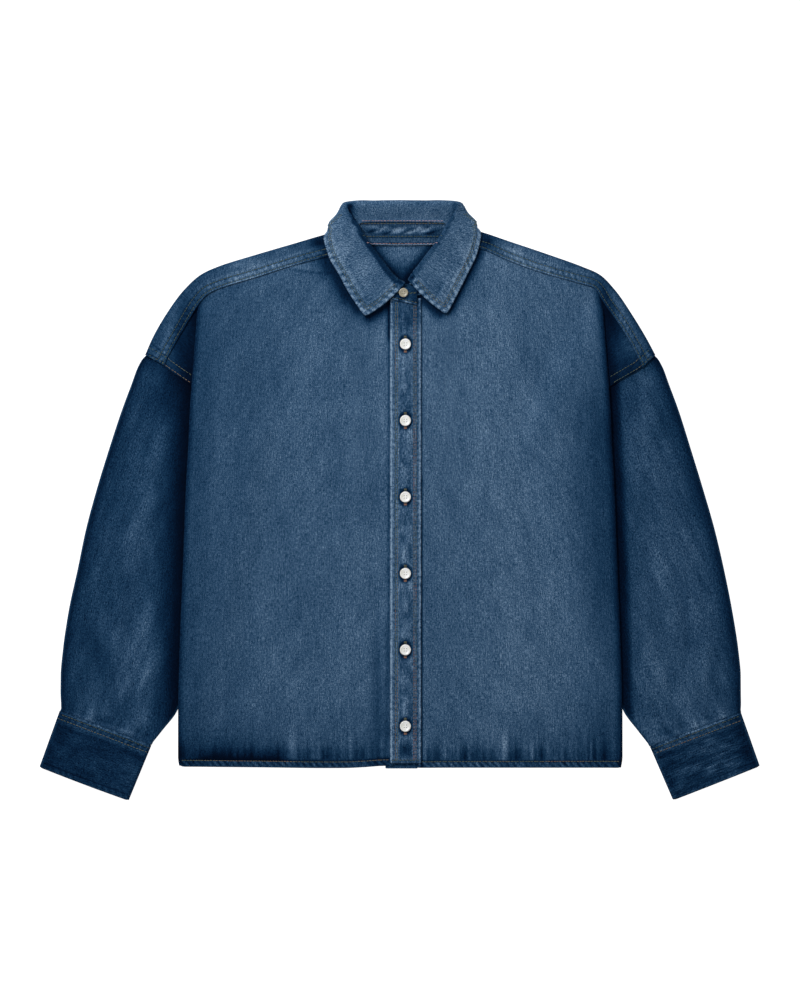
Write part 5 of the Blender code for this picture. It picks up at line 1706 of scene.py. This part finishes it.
def button(number, x, y, z, share=1.0, finish=None):
    """A turned disc with a soft rim, a dished middle and four small holes."""
    shape = bmesh.new()
    rings = []
    for radius, height in BUTTON_PROFILE:
        count = BUTTON_SIDES if radius else 1
        turns = [math.tau * step / BUTTON_SIDES for step in range(count)]
        radius *= share * MM
        spots = [(radius * math.cos(turn), radius * math.sin(turn), height * MM) for turn in turns]
        rings.append([shape.verts.new(place) for place in spots])
    for first, second in zip(rings, rings[1:]):
        for step in range(BUTTON_SIDES):
            following = (step + 1) % BUTTON_SIDES
            corners = [first[step % len(first)], first[following % len(first)]]
            corners += [second[following % len(second)], second[step % len(second)]]
            shape.faces.new(list(dict.fromkeys(corners)))
    bmesh.ops.recalc_face_normals(shape, faces=shape.faces[:])
    mesh = bpy.data.meshes.new(f"button_{number}_disc")
    shape.to_mesh(mesh)
    shape.free()
    mesh.shade_smooth()
    mesh.materials.append(finish or PEARL)
    made = placed(f"button_{number}_disc", mesh)
    made.location = (x * MM, y * MM, z * MM)
    cutters = []
    for hole_x in (-BUTTON_HOLE_OUT, BUTTON_HOLE_OUT):
        for hole_y in (-BUTTON_HOLE_OUT, BUTTON_HOLE_OUT):
            bpy.ops.mesh.primitive_cylinder_add(
                vertices=16, radius=BUTTON_HOLE_RADIUS * MM, depth=9 * MM,
                location=((x + hole_x) * MM, (y + hole_y) * MM, z * MM),
            )
            cutters.append(bpy.context.object)
            cut = made.modifiers.new("Hole", "BOOLEAN")
            cut.operation = "DIFFERENCE"
            cut.object = cutters[-1]
    bpy.context.view_layer.update()
    finished = bpy.data.meshes.new_from_object(made.evaluated_get(bpy.context.evaluated_depsgraph_get()))
    made.modifiers.clear()
    made.data = finished
    for cutter in cutters:
        bpy.data.objects.remove(cutter, do_unlink=True)
    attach(made, "root")
    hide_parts(f"button_{number}")


def satin(thread, tree, x, y, lift, along, length, tint):
    """One stitch of a buttonhole, if there is cloth under it."""
    hit = drop(tree, [(x, y)])[0]
    if hit is not None:
        up = np.array((0.0, 0.0, 1.0))
        thread.stitch(np.array(hit[0]) + lift * up, np.array(along), up, length, tint)


def buttonholes(thread, trees):
    """Satin stitches round slits that run up and down, with a bar at each end."""
    tree = trees["placket"]
    for index in range(FRONT_BUTTONS):
        y = BUTTON_TOP - index * BUTTON_PITCH
        for side in (-1, 1):
            for place in spaced(-HOLE_HALF, HOLE_HALF, HOLE_STITCH_STEP):
                tint = 0.45 + 0.25 * noise1(place / 3, 70 + index) + (0.25 if place < 0 else -0.2)
                satin(thread, tree, BUTTON_X + side * HOLE_GAP, y + place, 0.0, (1.0, 0.15, 0.0), 1.5, tint)
        for end in (-1, 1):
            for place in (0.0, 0.6, 1.2):
                bar = y + end * (HOLE_HALF - 0.4 + place)
                satin(thread, tree, BUTTON_X, bar, 0.12, (1.0, 0.0, 0.0), 3.6, 0.35 if end > 0 else 0.85)


# ---------- Materials ----------


def linear(*colour):
    """A colour of 0 to 255 steps, as the linear values that Blender uses."""
    values = np.array(colour) / 255
    return tuple(np.where(values <= 0.04045, values / 12.92, ((values + 0.055) / 1.055) ** 2.4)) + (1.0,)


class Nodes:
    """Short calls for building a material."""

    def __init__(self, name):
        self.material = bpy.data.materials.new(name)
        self.material.use_nodes = True
        self.tree = self.material.node_tree
        self.shader = self.tree.nodes["Principled BSDF"]

    def add(self, kind, inputs=None, **settings):
        node = self.tree.nodes.new(kind)
        for key, value in settings.items():
            setattr(node, key, value)
        for key, value in (inputs or {}).items():
            if isinstance(value, bpy.types.NodeSocket):
                self.tree.links.new(value, node.inputs[key])
            else:
                node.inputs[key].default_value = value
        return node

    def maths(self, operation, first, second=0.0, third=0.0):
        node = self.add("ShaderNodeMath", {0: first, 1: second, 2: third}, operation=operation)
        return node.outputs[0]

    def scaled(self, vector, scale):
        node = self.add("ShaderNodeVectorMath", {0: vector, 1: scale}, operation="MULTIPLY")
        return node.outputs[0]

    def noise(self, vector, detail=2.0, roughness=0.5):
        inputs = {"Vector": vector, "Scale": 1.0, "Detail": detail, "Roughness": roughness}
        return self.add("ShaderNodeTexNoise", inputs).outputs["Fac"]

    def feed(self, **sockets):
        """Link or set the shader's inputs. An underscore in a name stands for a space."""
        for name, value in sockets.items():
            socket = self.shader.inputs[name.replace("_", " ")]
            if isinstance(value, bpy.types.NodeSocket):
                self.tree.links.new(value, socket)
            else:
                socket.default_value = value

    def attribute(self, name):
        return self.add("ShaderNodeAttribute", attribute_name=name)

    def ramp(self, value, stops):
        node = self.add("ShaderNodeValToRGB", {"Fac": value})
        ramp = node.color_ramp
        while len(ramp.elements) > 1:
            ramp.elements.remove(ramp.elements[-1])
        ramp.elements[0].position = stops[0][0]
        ramp.elements[0].color = stops[0][1]
        for place, colour in stops[1:]:
            ramp.elements.new(place).color = colour
        return node.outputs["Color"]


DENIM_STOPS = (
    (0.0, linear(0, 1, 6)),
    (0.1, linear(1, 15, 36)),
    (0.22, linear(8, 36, 64)),
    (0.36, linear(25, 57, 86)),
    (0.517, linear(50, 79, 109)),
    (0.624, linear(66, 95, 124)),
    (0.711, linear(81, 109, 138)),
    (1.0, linear(130, 155, 180)),
)


def denim(name, contrast=1.0, tall=1.0, twill=0.05, slope=1.0):
    """Washed denim. The grain attribute holds cloth coordinates in millimetres, weft then warp, and the
    tone attribute the cloth's shade from 0, black blue, to 1, worn white."""
    nodes = Nodes(name)
    grain = nodes.attribute("grain").outputs["Vector"]
    tone = nodes.attribute("tone").outputs["Fac"]
    slub = nodes.noise(nodes.scaled(grain, (0.85, 0.21 / tall, 1)), 2.0, 0.6)
    warp = nodes.noise(nodes.scaled(grain, (0.8, 0.035 / tall, 1)), 1.0, 0.5)
    band = nodes.noise(nodes.scaled(grain, (0.2, 0.03 / tall, 1)), 2.0, 0.55)
    pick = nodes.noise(nodes.scaled(grain, (0.25, 0.8, 1)), 2.0, 0.6)
    mottle = nodes.noise(nodes.scaled(grain, (0.9, 0.6, 1)), 3.0, 0.75)
    cloud = nodes.noise(nodes.scaled(grain, (0.05, 0.025, 1)), 3.0, 0.55)
    fleck = nodes.noise(nodes.scaled(grain, (0.9, 0.5, 1.3)), 1.0, 0.5)
    parts = nodes.add("ShaderNodeSeparateXYZ", {0: grain})
    diagonal = nodes.maths("MULTIPLY_ADD", parts.outputs["Y"], slope, parts.outputs["X"])
    wobble = nodes.maths("MULTIPLY_ADD", mottle, 1.6, diagonal)
    wave = nodes.maths("SINE", nodes.maths("MULTIPLY", wobble, math.tau / 2.3))
    factor = nodes.maths("MULTIPLY_ADD", wave, twill, 1.0)
    shares = ((slub, 1.35), (warp, 0.5), (band, 0.25), (pick, 0.25), (mottle, 2.5), (cloud, 0.14))
    for source, share in shares:
        factor = nodes.maths("MULTIPLY_ADD", nodes.maths("SUBTRACT", source, 0.5), share * contrast, factor)
    bright = nodes.maths("MAXIMUM", nodes.maths("SUBTRACT", fleck, 0.62), 0.0)
    factor = nodes.maths("MULTIPLY_ADD", bright, 1.5 * contrast, factor)
    value = nodes.maths("MULTIPLY", tone, nodes.maths("MAXIMUM", factor, 0.25))
    rough = nodes.maths("MULTIPLY_ADD", mottle, 0.16, 0.8)
    nodes.feed(Base_Color=nodes.ramp(value, DENIM_STOPS), Roughness=rough, Specular_IOR_Level=0.03)
    nodes.feed(Sheen_Weight=0.01, Sheen_Roughness=0.5, Sheen_Tint=(0.55, 0.68, 0.85, 1))
    height = nodes.maths("MULTIPLY_ADD", wave, 0.12, nodes.maths("MULTIPLY_ADD", slub, 0.9, mottle))
    bump = nodes.add("ShaderNodeBump", {"Height": height, "Strength": 0.4, "Distance": 0.0006})
    nodes.feed(Normal=bump.outputs["Normal"])
    return nodes.material


THREAD_STOPS = (
    (0.0, linear(66, 82, 72)),
    (0.25, linear(88, 94, 76)),
    (0.5, linear(106, 100, 82)),
    (0.7, linear(122, 96, 78)),
    (0.85, linear(142, 102, 84)),
    (1.0, linear(168, 142, 152)),
)


def thread_material():
    nodes = Nodes("topstitch_thread")
    tint = nodes.attribute("tint").outputs["Fac"]
    place = nodes.add("ShaderNodeTexCoord").outputs["Object"]
    fuzz = nodes.noise(nodes.scaled(place, (1500, 1500, 1500)), 2.0, 0.5)
    value = nodes.maths("MULTIPLY_ADD", nodes.maths("SUBTRACT", fuzz, 0.5), 0.2, tint)
    colour = nodes.ramp(value, THREAD_STOPS)
    nodes.feed(Base_Color=colour, Roughness=0.7, Specular_IOR_Level=0.25, Sheen_Weight=0.1)
    return nodes.material


def pearl_material(name="pearl_button", shade=(1, 1, 1)):
    nodes = Nodes(name)
    place = nodes.add("ShaderNodeTexCoord").outputs["Object"]
    cloud = nodes.noise(nodes.scaled(place, (260, 180, 260)), 3.0, 0.55)
    steps = ((0.3, (226, 226, 214)), (0.5, (243, 243, 240)), (0.7, (250, 250, 252)))
    colour = nodes.ramp(cloud, [(at, linear(*np.multiply(rgb, shade))) for at, rgb in steps])
    nodes.feed(Base_Color=colour, Roughness=0.32, Specular_IOR_Level=0.5, Coat_Weight=0.3, Coat_Roughness=0.2)
    return nodes.material


DENIM = denim("washed_denim")
DENIM_TRIM = denim("washed_denim_trim", contrast=1.15)
DENIM_SLEEVE = denim("dark_denim_sleeve", contrast=1.2, tall=0.8, slope=-1.0, twill=0.06)
DENIM_CUFF = denim("dark_denim_cuff", contrast=1.35)
DENIM_CUFF_STREAKY = denim("dark_denim_cuff_streaky", contrast=1.6, tall=2.5)
TOPSTITCH = thread_material()
PEARL = pearl_material()
# the collar button's pearl: beige of its own, and darker as painted shade of the collar over it
PEARL_BEIGE_SHADED = pearl_material("pearl_button_beige_painted_shade", (0.66, 0.63, 0.56))


# ---------- Light, floor and camera, in metres ----------

FLOOR_LEVEL = -0.0004  # just under the shirt
CAMERA_PLACE = (-0.0003, 0.0002, 3.2)
KEY_LIGHT = ((-0.95, 1.35, 1.9), 0.9, 46)  # place, size, power
TOP_LIGHT = ((0.3, -0.2, 2.6), 1.6, 8)
SURROUNDINGS = ((0.96, 0.98, 1.0, 1), 0.26)  # colour, strength


def stage():
    """The pale floor, the soft surroundings and two lamps."""
    bpy.ops.mesh.primitive_plane_add(size=6, location=(0, 0, FLOOR_LEVEL))
    floor = bpy.context.object
    floor.name = "floor"
    nodes = Nodes("pale_floor")
    nodes.feed(Base_Color=(0.3, 0.3, 0.3, 1), Roughness=0.9, Specular_IOR_Level=0.0)
    nodes.feed(Emission_Color=(1, 1, 1, 1), Emission_Strength=1.0)
    floor.data.materials.append(nodes.material)

    world = bpy.data.worlds.new("studio")
    world.use_nodes = True
    sky = world.node_tree.nodes["Background"]
    sky.inputs["Color"].default_value, sky.inputs["Strength"].default_value = SURROUNDINGS
    bpy.context.scene.world = world
    area_light("key", *KEY_LIGHT)
    area_light("top", *TOP_LIGHT)


def area_light(name, place, size, power):
    """A round lamp that points at the shirt's middle."""
    light = bpy.data.lights.new(name, "AREA")
    light.shape = "DISK"
    light.size = size
    light.energy = power
    made = placed(name, light)
    made.location = place
    made.rotation_euler = (-Vector(place)).to_track_quat("-Z", "Y").to_euler()


def camera():
    """Straight above the shirt."""
    eye = bpy.data.cameras.new("camera")
    eye.lens = 100
    eye.sensor_width = 36
    eye.sensor_fit = "AUTO"
    eye.clip_end = 20
    made = placed("camera", eye)
    made.location = CAMERA_PLACE
    bpy.context.scene.camera = made
    bpy.context.scene.view_settings.view_transform = "Standard"


# ---------- Rows of stitches ----------


def beyond_neck(path, side):
    """The part of a path on one side of the neck."""
    return path[side * (path[:, 0] - COLLAR_MIDDLE) > NECK_SIDE + 1]


def front_stitches(thread, trees):
    """The placket's rows and the hems'."""
    high, low = PLACKET_ENDS
    for x, inward, tint in ((PLACKET_EDGES[0], 1, 0.3), (PLACKET_EDGES[1], -1, 0.45)):
        for row, inset in enumerate(PLACKET_ROWS):
            path = dense([(x + inward * inset, high - 4), (x + inward * inset, low + 2.5)])
            thread.row(trees["placket"], path, 31 + row + int(x), tint=tint)
    path = [(PLACKET_SIDES[0] + 2, low + PLACKET_END_ROW), (PLACKET_SIDES[1] - 2, low + PLACKET_END_ROW)]
    thread.row(trees["placket"], dense(path), 35, tint=0.4)
    for side, edge in zip((-1, 1), PLACKET_SIDES):
        row = HEM[side] + HEM_ROW
        path = dense([(edge + side, row), (side * 252, row + 0.4)])
        if side < 0:
            path[:, 1] += hem_wave(path[:, 0])
        thread.row(trees[f"front_{WEARER[side]}"], path, 37 + side, tint=0.35, drift=0.3, pitch=STITCH + 0.35)


def yoke_stitches(thread, trees):
    """The yoke's rows along its front seam and its ends, and those of the fronts' armholes."""
    seam = columns_of(YOKE, "seam_x seam_y")
    fold = columns_of(YOKE, "fold_x fold_y")
    for index, inset in enumerate(YOKE_ROWS):
        path = offset_path(curved(seam), inset)
        for side, seed in ((1, 41), (-1, 43)):
            thread.row(trees["yoke"], beyond_neck(path, side), seed + index, tint=0.0, drift=0.1)
    for end, following in ((0, 1), (-1, -2)):
        toward = unit(seam[following] - seam[end])
        for index, inset in enumerate(YOKE_END_ROWS):
            path = dense([seam[end] + toward * inset, fold[end] + toward * inset])
            thread.row(trees["yoke"], path, 45 + index, tint=0.1, drift=0.2)
    for side in (-1, 1):
        path = dense(columns_of(ARMHOLE[side], "x y")[5:9])
        for index, inset in enumerate(YOKE_END_ROWS):
            moved = offset_path(path, -side * inset)
            moved = moved[np.abs(moved[:, 0]) > read(SIDE, "half", moved[:, 1]) + 1]
            if len(moved) > 3:
                thread.row(trees[f"front_{WEARER[side]}"], moved, 51 + index + side, tint=0.3)


def leaf_stitches(thread, trees):
    """Two rows along the leaf's edges. They stop where the leaf turns behind the neck."""
    tree = trees["collar_leaf"]
    rows, columns = LEAF_POINTS.shape[:2]
    for index in (list(LEAF_STEPS).index(inset) for inset in LEAF_STITCH_ROWS):
        outline = [LEAF_POINTS[index, k, :2] for k in range(columns - 14, index, -1)]
        outline += [LEAF_POINTS[k, index, :2] for k in range(index, rows - index)]
        outline += [LEAF_POINTS[rows - 1 - index, k, :2] for k in range(index, columns - 14)]
        outline = np.array(outline)
        front_part = outline[:, 1] < 330
        start = 0
        for stop in range(1, len(outline) + 1):
            if stop == len(outline) or front_part[stop] != front_part[start]:
                if front_part[start] and stop - start > 4:
                    thread.row(tree, outline[start:stop], 81 + index + start, tint=0.14, drift=0.22)
                start = stop


STAND_ROWS = (  # y, half length on the stand, length over the leaf, tint
    (320.3, 47, 7, 1.0), (317.4, 48, 6, 0.4), (303.2, 42, 4, 0.1), (295.2, 38, 2.5, 1.0),
)


def stand_stitches(thread, trees):
    """The rows at the back of the neck, which run on over the leaf, and the tab's row."""
    tree, leaf_tree = trees["collar_stand"], trees["collar_leaf"]
    for y, half, more, tint in STAND_ROWS:
        path = dense([(COLLAR_MIDDLE - half, y), (COLLAR_MIDDLE + half, y)])
        thread.row(tree if y < 319 else leaf_tree, path, 91 + int(y), tint=tint, drift=0.2)
        for way in (-1, 1):
            path = [(COLLAR_MIDDLE + way * half, y), (COLLAR_MIDDLE + way * (half + more), y)]
            thread.row(leaf_tree, dense(path), 95 + int(y) + way, tint=tint, drift=0.2)
    foot = curved(both_sides(STAND, RIGHT_STAND_END, LEFT_STAND_END)[:, 3:5])
    tab = foot[(foot[:, 1] < 245) & (foot[:, 0] < 22) & (foot[:, 0] > -20)]
    thread.row(tree, tab + np.array((0.0, 2.4)), 93, tint=0.1, drift=0.1)


def cuff_stitches(thread, trees):
    """The rows along each cuff's top edge."""
    top = np.array(CUFF_TOP)
    down = unit(np.array(CUFF_BOTTOM[0]) - top[0])
    for side in (-1, 1):
        for index, inset in enumerate(CUFF_ROWS_IN):
            path = (top + down * (inset + CUFF_DROP[side])) * (side, 1)
            tree = trees[f"cuff_{WEARER[side]}"]
            thread.row(tree, dense(path), 61 + index + side, tint=0.4 if index else 0.05, drift=0.2)


def sew():
    """Every row of stitches, and the buttonholes."""
    trees = {name: tree_of(made) for name, made in PIECES.items()}
    sewn = (
        ("stitches_body", THREAD, (front_stitches, yoke_stitches)),
        ("stitches_collar", THREAD, (leaf_stitches, stand_stitches)),
        ("stitches_cuffs", THREAD, (cuff_stitches,)),
        ("buttonholes", HOLE_THREAD, (buttonholes,)),
    )
    for name, thickness, jobs in sewn:
        thread = Thread(name, thickness)
        for job in jobs:
            job(thread, trees)
        thread.make(TOPSTITCH)


# ---------- All of it ----------

PIECES = {}
for side, name in WEARER.items():
    PIECES[f"front_{name}"] = front(side)
    PIECES[f"sleeve_{name}"] = sleeve(side)
    PIECES[f"cuff_{name}"] = cuff(side)
PIECES["placket"] = placket()
PIECES["button_band"] = button_band()
PIECES["back"] = back()
PIECES["yoke"] = yoke()
PIECES["collar_leaf"], LEAF_POINTS = collar_leaf()
PIECES["collar_stand"] = collar_stand()
bpy.context.view_layer.update()
button(1, *COLLAR_BUTTON, TAB + STAND_WALL / 2 + SEAM_GAP, share=COLLAR_BUTTON_SHARE, finish=PEARL_BEIGE_SHADED)
for index in range(FRONT_BUTTONS):
    button(index + 2, BUTTON_X, BUTTON_TOP - index * BUTTON_PITCH, PLACKET + PLACKET_WALL / 2 + SEAM_GAP)
sew()
stage()
camera()
